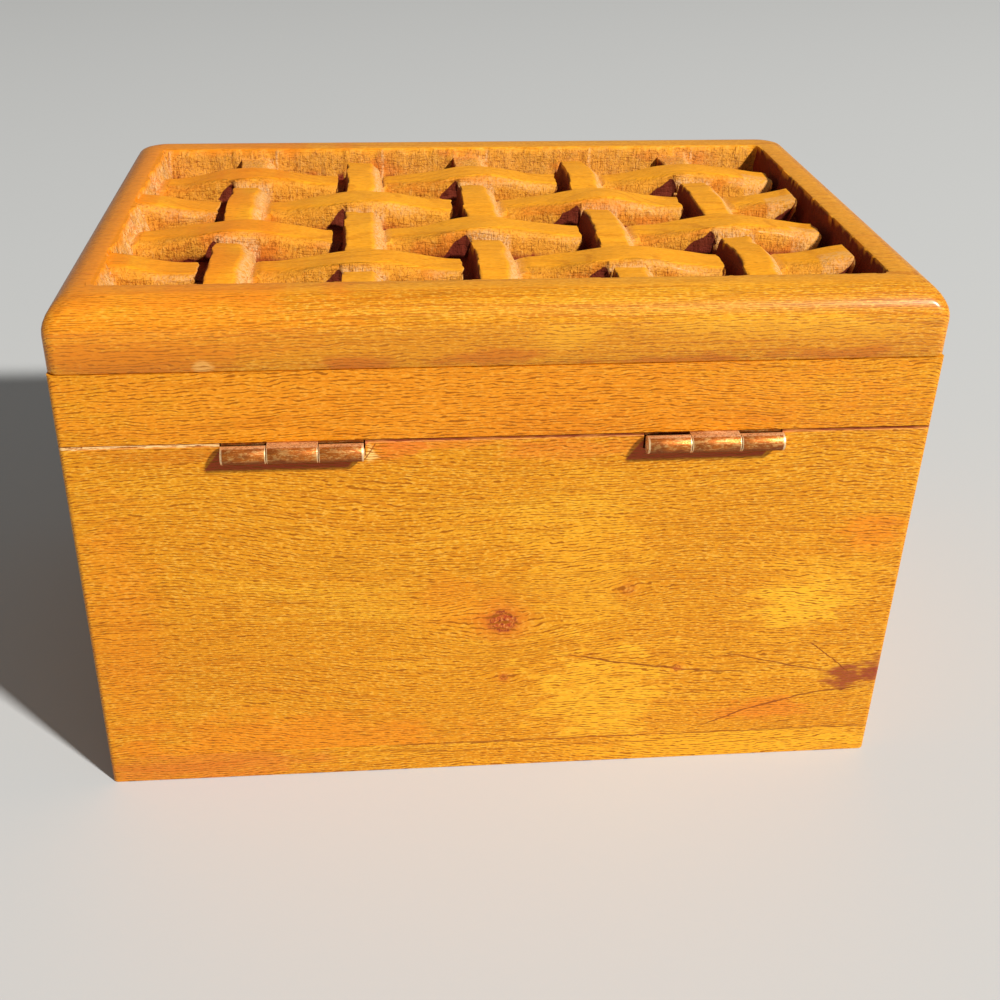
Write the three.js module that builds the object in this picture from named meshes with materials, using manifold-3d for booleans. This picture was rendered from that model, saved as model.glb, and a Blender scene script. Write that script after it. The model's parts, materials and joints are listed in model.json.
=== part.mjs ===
// A wooden box with a deep-carved basket-weave lid on two brass butt hinges.
// Millimetres. X runs along the box, the hinges are on the +Y side and Z is up.
// The origin is the centre of the underside, and the lid is shown closed.

import * as THREE from 'three';
import { mergeVertices } from 'three/addons/utils/BufferGeometryUtils.js';
import Module from 'manifold-3d';

const wasm = await Module();
wasm.setup();

// Box and lid frame
const boxLength = 228.6;
const boxDepth = 152.7;
const bottomThickness = 9.9;
const wallThickness = 9.5;
const seamHeight = 113.2;
const seamGap = 0.3;
const lidRailHeight = 19.8;
const cornerRadius = 1.6;

// Slab of the lid, with a recess sunk in its top
const slabThickness = 18.6;
const slabRoundover = 8.7;
const slabCornerRadius = 3.2;
const slabLowerEase = 0.6;
const recessDepth = 11;
const recessDraft = 1.4;
const recessCornerRadius = 2.5;
const borderLeft = 12.9;
const borderRight = 10.5;
const borderFront = 15;
const borderBack = 13;

// Basket weave carved in the recess: wefts run along X and warps along Y
const columnPitch = 35.7;
const columnShift = 0.4;
const rowPitch = 26.3;
const rowShift = 1.6;
const weftWidth = 12;
const weftEase = 1.1;
const weftCrownDrop = 1.2;
const weftTipDrop = 4.4;
const weftTipThickness = 2.4;
const weftTipUndercut = 2.6;
const weftTipGap = 2.4;
const warpWidth = 11.6;
const warpEase = 2.4;
const warpCrownDrop = 1.6;
const warpShoulderDrop = 2.8;
const warpEndSlope = 1.2;
const warpEndGap = 3.8;
const divedDrop = 8;

// Butt hinges: each has a lower leaf on the box, an upper leaf on the lid and a loose pin
const hingeSpacing = 110.2;
const hingeLength = 36.4;
const middleKnuckleLength = 13;
const knuckleGap = 0.25;
const pinRadius = 1.3;
const pinSeat = 0.02;
const pinPlay = 0.1;
const leafThickness = 1;
const leafReach = 10;
const leafCornerRadius = 1.2;
const barrelStandoff = 0.05;
const mortisePlay = 0.4;

// Countersunk wood screws
const screwsPerLeaf = 3;
const screwSpacing = 12.4;
const screwHeadRadius = 2.2;
const screwShankRadius = 1.1;
const screwLength = 8.2;
const screwTipLength = 1.6;
const screwSeat = 0.02;
const screwHolePlay = 0.3;

// Fineness of the curved faces
const cornerSegments = 4;
const roundoverSteps = 7;
const crownSteps = 12;
const barrelSegments = 24;
const screwSegments = 12;

// Heights and places that follow from the sizes above
const lidHeight = seamHeight + seamGap;
const slabHeight = lidHeight + lidRailHeight;
const topHeight = slabHeight + slabThickness;
const floorHeight = topHeight - recessDepth;
const halfLength = boxLength / 2;
const halfDepth = boxDepth / 2;
const recess = {
  minX: borderLeft - halfLength,
  maxX: halfLength - borderRight,
  minY: borderFront - halfDepth,
  maxY: halfDepth - borderBack,
};
const knuckleRadius = pinRadius + pinPlay + leafThickness;
const hingeY = halfDepth + barrelStandoff + knuckleRadius;
const hingeZ = lidHeight - knuckleRadius;
const screwFromPin = (leafReach + knuckleRadius) / 2;

// Finishes
const finishes = {
  varnishedWood: { color: 0xd98a2c, roughness: 0.36, metalness: 0 },
  carvedWood: { color: 0xdd9238, roughness: 0.42, metalness: 0 },
  bottomWood: { color: 0xdc9a3a, roughness: 0.4, metalness: 0 },
  agedBrass: { color: 0x9c6a3c, roughness: 0.42, metalness: 0.9 },
  screwBrass: { color: 0xb08a4e, roughness: 0.4, metalness: 0.9 },
};

// Turns a closed three.js geometry into a solid that can be cut and joined
function toSolid(geometry) {
  const bare = geometry.clone();
  bare.deleteAttribute('normal');
  bare.deleteAttribute('uv');
  const merged = mergeVertices(bare, 1e-4);
  const corners = merged.index.array;
  const kept = [];
  for (let i = 0; i < corners.length; i += 3) {
    const [a, b, c] = corners.slice(i, i + 3);
    if (a !== b && b !== c && c !== a) {
      kept.push(a, b, c);
    }
  }
  const mesh = new wasm.Mesh({
    numProp: 3,
    vertProperties: new Float32Array(merged.attributes.position.array),
    triVerts: new Uint32Array(kept),
  });
  return new wasm.Manifold(mesh);
}

// Turns a solid back into a geometry for a mesh
function toGeometry(solid) {
  const mesh = solid.getMesh();
  const geometry = new THREE.BufferGeometry();
  geometry.setAttribute('position', new THREE.BufferAttribute(mesh.vertProperties, 3));
  geometry.setIndex(new THREE.BufferAttribute(mesh.triVerts, 1));
  geometry.computeVertexNormals();
  return geometry;
}

// Upright prism whose two ends lie exactly at the given heights
function prism(outline, low, high) {
  const settings = { depth: 1, bevelEnabled: false, curveSegments: cornerSegments };
  const geometry = new THREE.ExtrudeGeometry(outline, settings);
  const position = geometry.attributes.position;
  for (let i = 0; i < position.count; i += 1) {
    position.setZ(i, position.getZ(i) < 0.5 ? low : high);
  }
  return geometry;
}

// Rectangle with round corners, as a plan outline
function roundedRectangle(minX, maxX, minY, maxY, radius) {
  const quarter = Math.PI / 2;
  const shape = new THREE.Shape();
  shape.absarc(maxX - radius, maxY - radius, radius, 0, quarter);
  shape.absarc(minX + radius, maxY - radius, radius, quarter, 2 * quarter);
  shape.absarc(minX + radius, minY + radius, radius, 2 * quarter, 3 * quarter);
  shape.absarc(maxX - radius, minY + radius, radius, 3 * quarter, 4 * quarter);
  shape.closePath();
  return shape;
}

// Solid through a stack of level rings, each { outline, height }, with equal numbers of points
function loft(levels) {
  const rings = levels.map(({ outline, height }) =>
    outline.getPoints(cornerSegments).slice(0, -1).map((p) => [p.x, p.y, height]));
  const size = rings[0].length;
  const last = (rings.length - 1) * size;
  const index = [];
  for (let level = 0; level < rings.length - 1; level += 1) {
    for (let i = 0; i < size; i += 1) {
      const a = level * size + i;
      const b = level * size + ((i + 1) % size);
      index.push(a, b, b + size);
      index.push(a, b + size, a + size);
    }
  }
  for (let i = 1; i < size - 1; i += 1) {
    index.push(0, i + 1, i);
    index.push(last, last + i, last + i + 1);
  }
  const geometry = new THREE.BufferGeometry();
  geometry.setAttribute('position', new THREE.Float32BufferAttribute(rings.flat(2), 3));
  geometry.setIndex(index);
  return geometry;
}

// Extrudes a side view that is drawn in (along, height): 'x' draws it along X, 'y' along Y
function sideExtrusion(outline, width, ease, direction, centre) {
  const settings = {
    depth: width - 2 * ease,
    bevelEnabled: ease > 0,
    bevelThickness: ease,
    bevelSize: ease,
    bevelOffset: -ease,
    bevelSegments: 2,
  };
  const geometry = new THREE.ExtrudeGeometry(outline, settings);
  geometry.translate(0, 0, ease - width / 2);
  if (direction === 'x') {
    geometry.rotateX(Math.PI / 2);
    geometry.translate(0, centre, 0);
  } else {
    geometry.rotateX(Math.PI / 2);
    geometry.rotateZ(Math.PI / 2);
    geometry.translate(centre, 0, 0);
  }
  return geometry;
}

// One wall of a four-sided frame, mitred at both ends. The wall lies on the +Y side of
// a frame of size 2 * along by 2 * across, and is then turned to its own side.
function mitredWall(along, across, low, high) {
  const outline = new THREE.Shape();
  const inner = wallThickness;
  outline.moveTo(inner - along, across - inner);
  outline.lineTo(along - inner, across - inner);
  outline.absarc(along - cornerRadius, across - cornerRadius, cornerRadius, Math.PI / 4, Math.PI / 2);
  const left = cornerRadius - along;
  outline.absarc(left, across - cornerRadius, cornerRadius, Math.PI / 2, 3 * Math.PI / 4);
  outline.closePath();
  return prism(outline, low, high);
}

// Swaps or flips coordinates exactly, so that neighbouring mitres share their corners
function facing(geometry, side) {
  const position = geometry.attributes.position;
  for (let i = 0; i < position.count; i += 1) {
    const x = position.getX(i);
    const y = position.getY(i);
    if (side === 'front') {
      position.setXY(i, -x, -y);
    } else if (side === 'left') {
      position.setXY(i, -y, x);
    } else if (side === 'right') {
      position.setXY(i, y, -x);
    }
  }
  return geometry;
}

function frameWall(side, low, high) {
  const lengthwise = side === 'front' || side === 'back';
  const along = lengthwise ? halfLength : halfDepth;
  const across = lengthwise ? halfDepth : halfLength;
  return facing(mitredWall(along, across, low, high), side);
}

// Slab of the lid before carving, with a round edge along the top and an eased lower edge
function slabBlank() {
  const level = (inset, height) => ({
    outline: roundedRectangle(
      inset - halfLength,
      halfLength - inset,
      inset - halfDepth,
      halfDepth - inset,
      slabCornerRadius + inset / 2,
    ),
    height,
  });
  const levels = [level(slabLowerEase, slabHeight), level(0, slabHeight + slabLowerEase)];
  for (let step = 0; step <= roundoverSteps; step += 1) {
    const angle = (step / roundoverSteps) * (Math.PI / 2);
    const inset = slabRoundover * (1 - Math.cos(angle));
    levels.push(level(inset, topHeight - slabRoundover * (1 - Math.sin(angle))));
  }
  return loft(levels);
}

// Room of the recess, grown sideways by the given margin. Its walls lean by the draft.
function recessRoom(grow, low, high) {
  const level = (height) => {
    const lean = (recessDraft * (topHeight - height)) / recessDepth;
    return {
      outline: roundedRectangle(
        recess.minX + lean - grow,
        recess.maxX - lean + grow,
        recess.minY + lean - grow,
        recess.maxY - lean + grow,
        recessCornerRadius,
      ),
      height,
    };
  };
  return loft([level(low), level(high)]);
}

const recessCentreX = (recess.minX + recess.maxX) / 2;
const recessCentreY = (recess.minY + recess.maxY) / 2;
const recessHalfX = (recess.maxX - recess.minX) / 2;
const recessHalfY = (recess.maxY - recess.minY) / 2;
const columnX = (column) => columnShift + column * columnPitch;
const rowY = (row) => rowShift + (row + 0.5) * rowPitch;
const isWeftOver = (column, row) => (column + row) % 2 === 0;
const columnReach = Math.ceil(recessHalfX / columnPitch) + 1;
const rowReach = Math.ceil(recessHalfY / rowPitch) + 1;

// Side view of one weft: it arches over every second warp and dives under the others.
// Each arch ends in a blunt tip that is undercut above the hole beside the warp.
function weftOutline(row) {
  const half = columnPitch - warpWidth / 2 - weftTipGap;
  const dived = topHeight - divedDrop;
  const buried = floorHeight - weftEase - 0.5;
  const rise = weftTipDrop - weftCrownDrop;
  const outline = new THREE.Shape();
  outline.moveTo(columnX(columnReach + 1), buried);
  outline.lineTo(columnX(-columnReach - 1), buried);
  outline.lineTo(columnX(-columnReach - 1), dived);
  for (let column = -columnReach; column <= columnReach; column += 1) {
    if (isWeftOver(column, row)) {
      const centre = columnX(column);
      const tip = topHeight - weftTipDrop;
      outline.lineTo(centre - half + weftTipUndercut, dived);
      outline.lineTo(centre - half, tip - weftTipThickness);
      for (let step = -crownSteps; step <= crownSteps; step += 2) {
        const share = step / crownSteps;
        const arch = (1 + Math.cos(share * Math.PI)) / 2;
        outline.lineTo(centre + share * half, tip + rise * arch);
      }
      outline.lineTo(centre + half, tip - weftTipThickness);
      outline.lineTo(centre + half - weftTipUndercut, dived);
    }
  }
  outline.lineTo(columnX(columnReach + 1), dived);
  outline.closePath();
  return outline;
}

// Side view of one warp: short blocks with a gently crowned top, low between them
function warpOutline(column) {
  const half = rowPitch - weftWidth / 2 - warpEndGap;
  const dived = topHeight - divedDrop;
  const buried = floorHeight - warpEase - 0.5;
  const crownHalf = half - warpEndSlope;
  const rise = warpShoulderDrop - warpCrownDrop;
  const outline = new THREE.Shape();
  outline.moveTo(rowY(rowReach + 1), buried);
  outline.lineTo(rowY(-rowReach - 1), buried);
  outline.lineTo(rowY(-rowReach - 1), dived);
  for (let row = -rowReach; row <= rowReach; row += 1) {
    if (!isWeftOver(column, row)) {
      const centre = rowY(row);
      outline.lineTo(centre - half, dived);
      for (let step = -crownSteps; step <= crownSteps; step += 4) {
        const share = step / crownSteps;
        const height = topHeight - warpShoulderDrop + rise * (1 - share * share);
        outline.lineTo(centre + share * crownHalf, height);
      }
      outline.lineTo(centre + half, dived);
    }
  }
  outline.lineTo(rowY(rowReach + 1), dived);
  outline.closePath();
  return outline;
}

// Slab with its recess, and the woven strips left standing in it
function carvedSlab() {
  const above = 2;
  const buried = Math.max(weftEase, warpEase);
  const strips = [];
  for (let row = -rowReach; row <= rowReach; row += 1) {
    if (Math.abs(rowY(row) - recessCentreY) < recessHalfY) {
      strips.push(toSolid(sideExtrusion(weftOutline(row), weftWidth, weftEase, 'x', rowY(row))));
    }
  }
  for (let column = -columnReach; column <= columnReach; column += 1) {
    if (Math.abs(columnX(column) - recessCentreX) < recessHalfX) {
      const outline = warpOutline(column);
      strips.push(toSolid(sideExtrusion(outline, warpWidth, warpEase, 'y', columnX(column))));
    }
  }
  const woven = strips.reduce((all, strip) => all.add(strip));
  const room = toSolid(recessRoom(0, floorHeight, topHeight + above));
  const clip = toSolid(recessRoom(buried, floorHeight - buried, topHeight + above));
  return toSolid(slabBlank()).subtract(room).add(woven.intersect(clip));
}

// Plan rectangle of the mortise that both leaves of a hinge close into
function mortise(centreX) {
  const half = hingeLength / 2 + mortisePlay;
  const inner = hingeY - leafReach - mortisePlay;
  const outline = new THREE.Shape();
  outline.moveTo(centreX - half, inner);
  outline.lineTo(centreX + half, inner);
  outline.lineTo(centreX + half, halfDepth + cornerRadius);
  outline.lineTo(centreX - half, halfDepth + cornerRadius);
  outline.closePath();
  return toSolid(prism(outline, hingeZ - knuckleRadius, lidHeight));
}

// Countersunk screw pointing down, with the top of its head at the origin
function screwProfile(play) {
  const cone = screwHeadRadius - screwShankRadius;
  return [
    new THREE.Vector2(0, -screwLength - play),
    new THREE.Vector2(screwShankRadius + play, screwTipLength - screwLength),
    new THREE.Vector2(screwShankRadius + play, -cone - play),
    new THREE.Vector2(screwHeadRadius + play, 0),
    new THREE.Vector2(0, 0),
  ];
}

function screw() {
  const geometry = new THREE.LatheGeometry(screwProfile(0), screwSegments);
  return geometry.rotateX(Math.PI / 2);
}

// Plain hole in the wood for a screw, from above its head to below its tip
function screwHole() {
  const radius = screwShankRadius + screwHolePlay;
  const depth = screwLength + screwHolePlay;
  const outline = new THREE.Shape().absarc(0, 0, radius, 0, 2 * Math.PI);
  const settings = { depth, bevelEnabled: false, curveSegments: screwSegments };
  return new THREE.ExtrudeGeometry(outline, settings).translate(0, 0, -depth);
}

// Countersunk hole in a leaf, open at both of its faces
function leafHole() {
  const cone = screwHeadRadius - screwShankRadius;
  const through = [
    new THREE.Vector2(0, -leafThickness - cone),
    new THREE.Vector2(screwHeadRadius + screwSeat - leafThickness - cone, -leafThickness - cone),
    new THREE.Vector2(screwHeadRadius + screwSeat + cone, cone),
    new THREE.Vector2(0, cone),
  ];
  return new THREE.LatheGeometry(through, screwSegments).rotateX(Math.PI / 2);
}

const screwX = (number) => (number - (screwsPerLeaf - 1) / 2) * screwSpacing;

// Outer knuckles of the lower leaf, or the one middle knuckle of the upper leaf, as [from, to]
function knuckleSpans(isLower) {
  const end = hingeLength / 2;
  const middle = middleKnuckleLength / 2;
  if (isLower) {
    return [[-end, -middle - knuckleGap], [middle + knuckleGap, end]];
  }
  return [[-middle, middle]];
}

// Extrudes a (Y, Z) section along X between two places
function alongX(section, from, to) {
  const settings = { depth: to - from, bevelEnabled: false, curveSegments: barrelSegments / 2 };
  const geometry = new THREE.ExtrudeGeometry(section, settings);
  geometry.rotateX(Math.PI / 2);
  geometry.rotateZ(Math.PI / 2);
  return geometry.translate(from, 0, 0);
}

// Section through a knuckle and the root of its leaf. The leaf is level with the top of
// the barrel and wraps round the pin.
function knuckleSection(boreRadius) {
  const joined = -knuckleRadius - mortisePlay - leafThickness;
  const section = new THREE.Shape();
  section.moveTo(0, knuckleRadius);
  section.lineTo(joined, knuckleRadius);
  section.lineTo(joined, knuckleRadius - leafThickness);
  const rootHeight = knuckleRadius - leafThickness;
  const rootAngle = Math.PI - Math.asin(rootHeight / knuckleRadius);
  section.absarc(0, 0, knuckleRadius, rootAngle, 2.5 * Math.PI);
  const bore = new THREE.Path();
  bore.absarc(0, 0, boreRadius, 0, 2 * Math.PI, true);
  section.holes.push(bore);
  return section;
}

// Hinge leaf about its own pin axis, drawn as the upper leaf that closes above the lower one
function hingeLeaf(isLower) {
  const end = hingeLength / 2;
  const root = -knuckleRadius - mortisePlay;
  const radius = leafCornerRadius;
  const plan = new THREE.Shape();
  plan.moveTo(-end, root);
  plan.lineTo(-end, radius - leafReach);
  plan.absarc(radius - end, radius - leafReach, radius, Math.PI, 1.5 * Math.PI);
  plan.absarc(end - radius, radius - leafReach, radius, 1.5 * Math.PI, 2 * Math.PI);
  plan.lineTo(end, root);
  plan.closePath();
  let leaf = toSolid(prism(plan, knuckleRadius - leafThickness, knuckleRadius));
  const boreRadius = pinRadius + (isLower ? pinSeat : pinPlay);
  knuckleSpans(isLower).forEach(([from, to]) => {
    leaf = leaf.add(toSolid(alongX(knuckleSection(boreRadius), from, to)));
  });
  for (let number = 0; number < screwsPerLeaf; number += 1) {
    const hole = leafHole().rotateX(Math.PI);
    hole.translate(screwX(number), -screwFromPin, knuckleRadius - leafThickness);
    leaf = leaf.subtract(toSolid(hole));
  }
  return toGeometry(leaf);
}

// The loose pin, with slightly domed ends
function hingePin() {
  const end = hingeLength / 2;
  const dome = pinRadius / 4;
  const profile = [
    new THREE.Vector2(0, -end - dome),
    new THREE.Vector2(pinRadius * 0.7, -end - dome / 2),
    new THREE.Vector2(pinRadius, -end),
    new THREE.Vector2(pinRadius, end),
    new THREE.Vector2(pinRadius * 0.7, end + dome / 2),
    new THREE.Vector2(0, end + dome),
  ];
  return new THREE.LatheGeometry(profile, barrelSegments).rotateZ(-Math.PI / 2);
}

const group = new THREE.Group();

function addPart(name, geometry, finish, parent = group) {
  const material = new THREE.MeshStandardMaterial({ ...finishes[finish], name: finish });
  const mesh = new THREE.Mesh(geometry, material);
  mesh.name = name;
  parent.add(mesh);
  return mesh;
}

const hingePlaces = { left: -hingeSpacing / 2, right: hingeSpacing / 2 };

// Takes the screw holes of both hinges out of a wooden piece. Screws point down into the
// box and up into the lid.
function drilled(solid, isLower) {
  let left = solid;
  Object.values(hingePlaces).forEach((centreX) => {
    for (let number = 0; number < screwsPerLeaf; number += 1) {
      const hole = screwHole();
      const headZ = knuckleRadius - leafThickness;
      if (!isLower) {
        hole.rotateX(Math.PI);
      }
      const z = hingeZ + (isLower ? -headZ : headZ);
      hole.translate(centreX + screwX(number), hingeY - screwFromPin, z);
      left = left.subtract(toSolid(hole));
    }
  });
  return left;
}

// The box: a bottom board under four mitred panels
const boardOutline = roundedRectangle(-halfLength, halfLength, -halfDepth, halfDepth, cornerRadius);
addPart('bottom_board', prism(boardOutline, 0, bottomThickness), 'bottomWood');
['front', 'left', 'right'].forEach((side) => {
  addPart(`${side}_panel`, frameWall(side, bottomThickness, seamHeight), 'varnishedWood');
});
let backPanel = toSolid(frameWall('back', bottomThickness, seamHeight));
Object.values(hingePlaces).forEach((centreX) => {
  backPanel = backPanel.subtract(mortise(centreX));
});
addPart('back_panel', toGeometry(drilled(backPanel, true)), 'varnishedWood');

// The lid: a carved slab on four mitred rails
['front', 'left', 'right'].forEach((side) => {
  addPart(`lid_${side}_rail`, frameWall(side, lidHeight, slabHeight), 'varnishedWood');
});
const backRail = toSolid(frameWall('back', lidHeight, slabHeight));
addPart('lid_back_rail', toGeometry(drilled(backRail, false)), 'varnishedWood');
addPart('carved_lid_top', toGeometry(carvedSlab()), 'carvedWood');

// The hinges, each in a group on its own pin axis
Object.entries(hingePlaces).forEach(([side, centreX]) => {
  const hinge = new THREE.Group();
  hinge.position.set(centreX, hingeY, hingeZ);
  group.add(hinge);
  addPart(`${side}_hinge_lid_leaf`, hingeLeaf(false), 'agedBrass', hinge);
  const lowerLeaf = hingeLeaf(true).scale(1, 1, -1);
  lowerLeaf.setIndex(Array.from(lowerLeaf.index.array).reverse());
  addPart(`${side}_hinge_body_leaf`, lowerLeaf, 'agedBrass', hinge);
  addPart(`${side}_hinge_pin`, hingePin(), 'agedBrass', hinge);
  for (let number = 0; number < screwsPerLeaf; number += 1) {
    const headZ = knuckleRadius - leafThickness;
    const lower = addPart(`${side}_hinge_body_screw_${number + 1}`, screw(), 'screwBrass', hinge);
    lower.position.set(screwX(number), -screwFromPin, -headZ);
    const upper = addPart(`${side}_hinge_lid_screw_${number + 1}`, screw(), 'screwBrass', hinge);
    upper.rotation.x = Math.PI;
    upper.position.set(screwX(number), -screwFromPin, headZ);
  }
});

export default group;
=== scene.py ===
"""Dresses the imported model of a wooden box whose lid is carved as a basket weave.

The weave is carved again in fine relief, the boards get eased and worn edges, and the brass
hinges get slotted screws. Sizes are in millimetres unless a name says otherwise.
"""

import json
import logging
import math
from collections.abc import Iterable, Sequence
from dataclasses import dataclass, field, replace
from enum import Enum

import bmesh
import bpy
from mathutils import Matrix, Vector, noise

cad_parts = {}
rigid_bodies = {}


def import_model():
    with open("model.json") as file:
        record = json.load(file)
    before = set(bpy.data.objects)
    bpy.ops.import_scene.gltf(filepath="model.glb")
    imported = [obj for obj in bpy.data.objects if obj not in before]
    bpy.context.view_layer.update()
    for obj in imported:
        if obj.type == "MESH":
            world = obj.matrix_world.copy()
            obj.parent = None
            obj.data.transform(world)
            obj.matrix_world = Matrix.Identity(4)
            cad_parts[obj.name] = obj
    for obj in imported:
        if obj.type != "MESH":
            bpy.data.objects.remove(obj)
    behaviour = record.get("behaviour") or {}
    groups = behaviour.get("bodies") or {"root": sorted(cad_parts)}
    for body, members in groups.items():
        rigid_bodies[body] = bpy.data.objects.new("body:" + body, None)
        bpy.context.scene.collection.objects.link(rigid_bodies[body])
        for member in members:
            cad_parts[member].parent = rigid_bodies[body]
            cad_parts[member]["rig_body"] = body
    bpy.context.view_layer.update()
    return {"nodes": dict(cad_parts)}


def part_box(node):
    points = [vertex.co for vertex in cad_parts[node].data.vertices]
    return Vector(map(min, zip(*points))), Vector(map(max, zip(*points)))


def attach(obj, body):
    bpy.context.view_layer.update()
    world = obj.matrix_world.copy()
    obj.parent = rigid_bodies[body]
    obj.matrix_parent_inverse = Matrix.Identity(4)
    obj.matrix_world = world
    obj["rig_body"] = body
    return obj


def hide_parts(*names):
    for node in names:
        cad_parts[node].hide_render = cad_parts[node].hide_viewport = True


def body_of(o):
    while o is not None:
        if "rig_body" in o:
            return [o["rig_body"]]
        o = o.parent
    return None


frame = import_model()
METRE = 1000.0
MM = 1.0 / METRE
TURN = 2 * math.pi

# Limits in millimetres: vertices closer than a weld are one, and within a touch heights are equal
WELD = 0.002
CAD_WELD = 0.001
PIN_WELD = 0.0005
TOUCH = 0.01

# Faces that turn by fewer degrees are one, and a face whose normal has this height is level
FLAT_ANGLE = 0.5
LEVEL_SHARE = 0.9

log = logging.getLogger("carved_box")

Colour = tuple[float, float, float, float]
Socket = bpy.types.NodeSocket


def tone(red: int, green: int, blue: int) -> Colour:
    """Turns a screen colour into the linear colour that a shader takes.

    Args:
        red: Level of red, from 0 to 255.
        green: Level of green.
        blue: Level of blue.

    Returns:
        The linear colour, fully opaque.
    """
    def linear(level: int) -> float:
        """One channel, by the usual screen curve."""
        share = level / 255
        return share / 12.92 if share <= 0.04045 else ((share + 0.055) / 1.055) ** 2.4

    return (linear(red), linear(green), linear(blue), 1.0)


def ease(value: float, low: float, high: float) -> float:
    """Smooth step from 0 at low to 1 at high."""
    share = min(1.0, max(0.0, (value - low) / (high - low)))
    return share * share * (3 - 2 * share)


def ramp(value: float, low: float, high: float) -> float:
    """Straight step from 0 at low to 1 at high."""
    return min(1.0, max(0.0, (value - low) / (high - low)))


def mix(first: float, second: float, share: float) -> float:
    """The value a share of the way from first to second."""
    return first + (second - first) * share


def ripple(x: float, y: float, seed: float, size: float) -> float:
    """Smooth noise of about -1 to 1 over a plane.

    Args:
        x: Place along the first axis.
        y: Place along the second axis.
        seed: Picks one of many such patterns.
        size: Width of its humps, in the unit of x and y.

    Returns:
        The noise at that place.
    """
    return 1.6 * noise.noise(Vector((x / size, y / size, seed * 7.31)))


class Grain(Enum):
    """Axis of the object that the fibres of a board run along."""

    LENGTHWISE = "x"
    CROSSWISE = "y"


class Wire:
    """An output of a node. Plain arithmetic on it adds Math nodes behind it."""

    def __init__(self, sheet: "NodeSheet", socket: Socket) -> None:
        """Holds that socket of that sheet."""
        self.sheet = sheet
        self.socket = socket

    def __add__(self, other: "Wire | float") -> "Wire":
        """The sum of both."""
        return self.sheet.math("ADD", self, other)

    def __sub__(self, other: "Wire | float") -> "Wire":
        """This one less the other."""
        return self.sheet.math("SUBTRACT", self, other)

    def __rsub__(self, other: float) -> "Wire":
        """The other less this one."""
        return self.sheet.math("SUBTRACT", other, self)

    def __mul__(self, other: "Wire | float") -> "Wire":
        """The product of both."""
        return self.sheet.math("MULTIPLY", self, other)

    def __truediv__(self, other: float) -> "Wire":
        """This one divided by the other."""
        return self.sheet.math("DIVIDE", self, other)

    def __abs__(self) -> "Wire":
        """Its distance from 0."""
        return self.sheet.math("ABSOLUTE", self)

    def sine(self) -> "Wire":
        """Its sine, in radians."""
        return self.sheet.math("SINE", self)

    def highest(self, other: "Wire") -> "Wire":
        """The higher of both."""
        return self.sheet.math("MAXIMUM", self, other)

    def step(self, low: float, high: float, start: float = 0.0, end: float = 1.0) -> "Wire":
        """A smooth step from start at low to end at high, held on both sides."""
        return self.sheet.wire("MapRange", {
            "Value": self, "From Min": low, "From Max": high, "To Min": start, "To Max": end,
        }, "Result", {"interpolation_type": "SMOOTHSTEP"})


Feed = Wire | float | Sequence[float]


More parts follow.
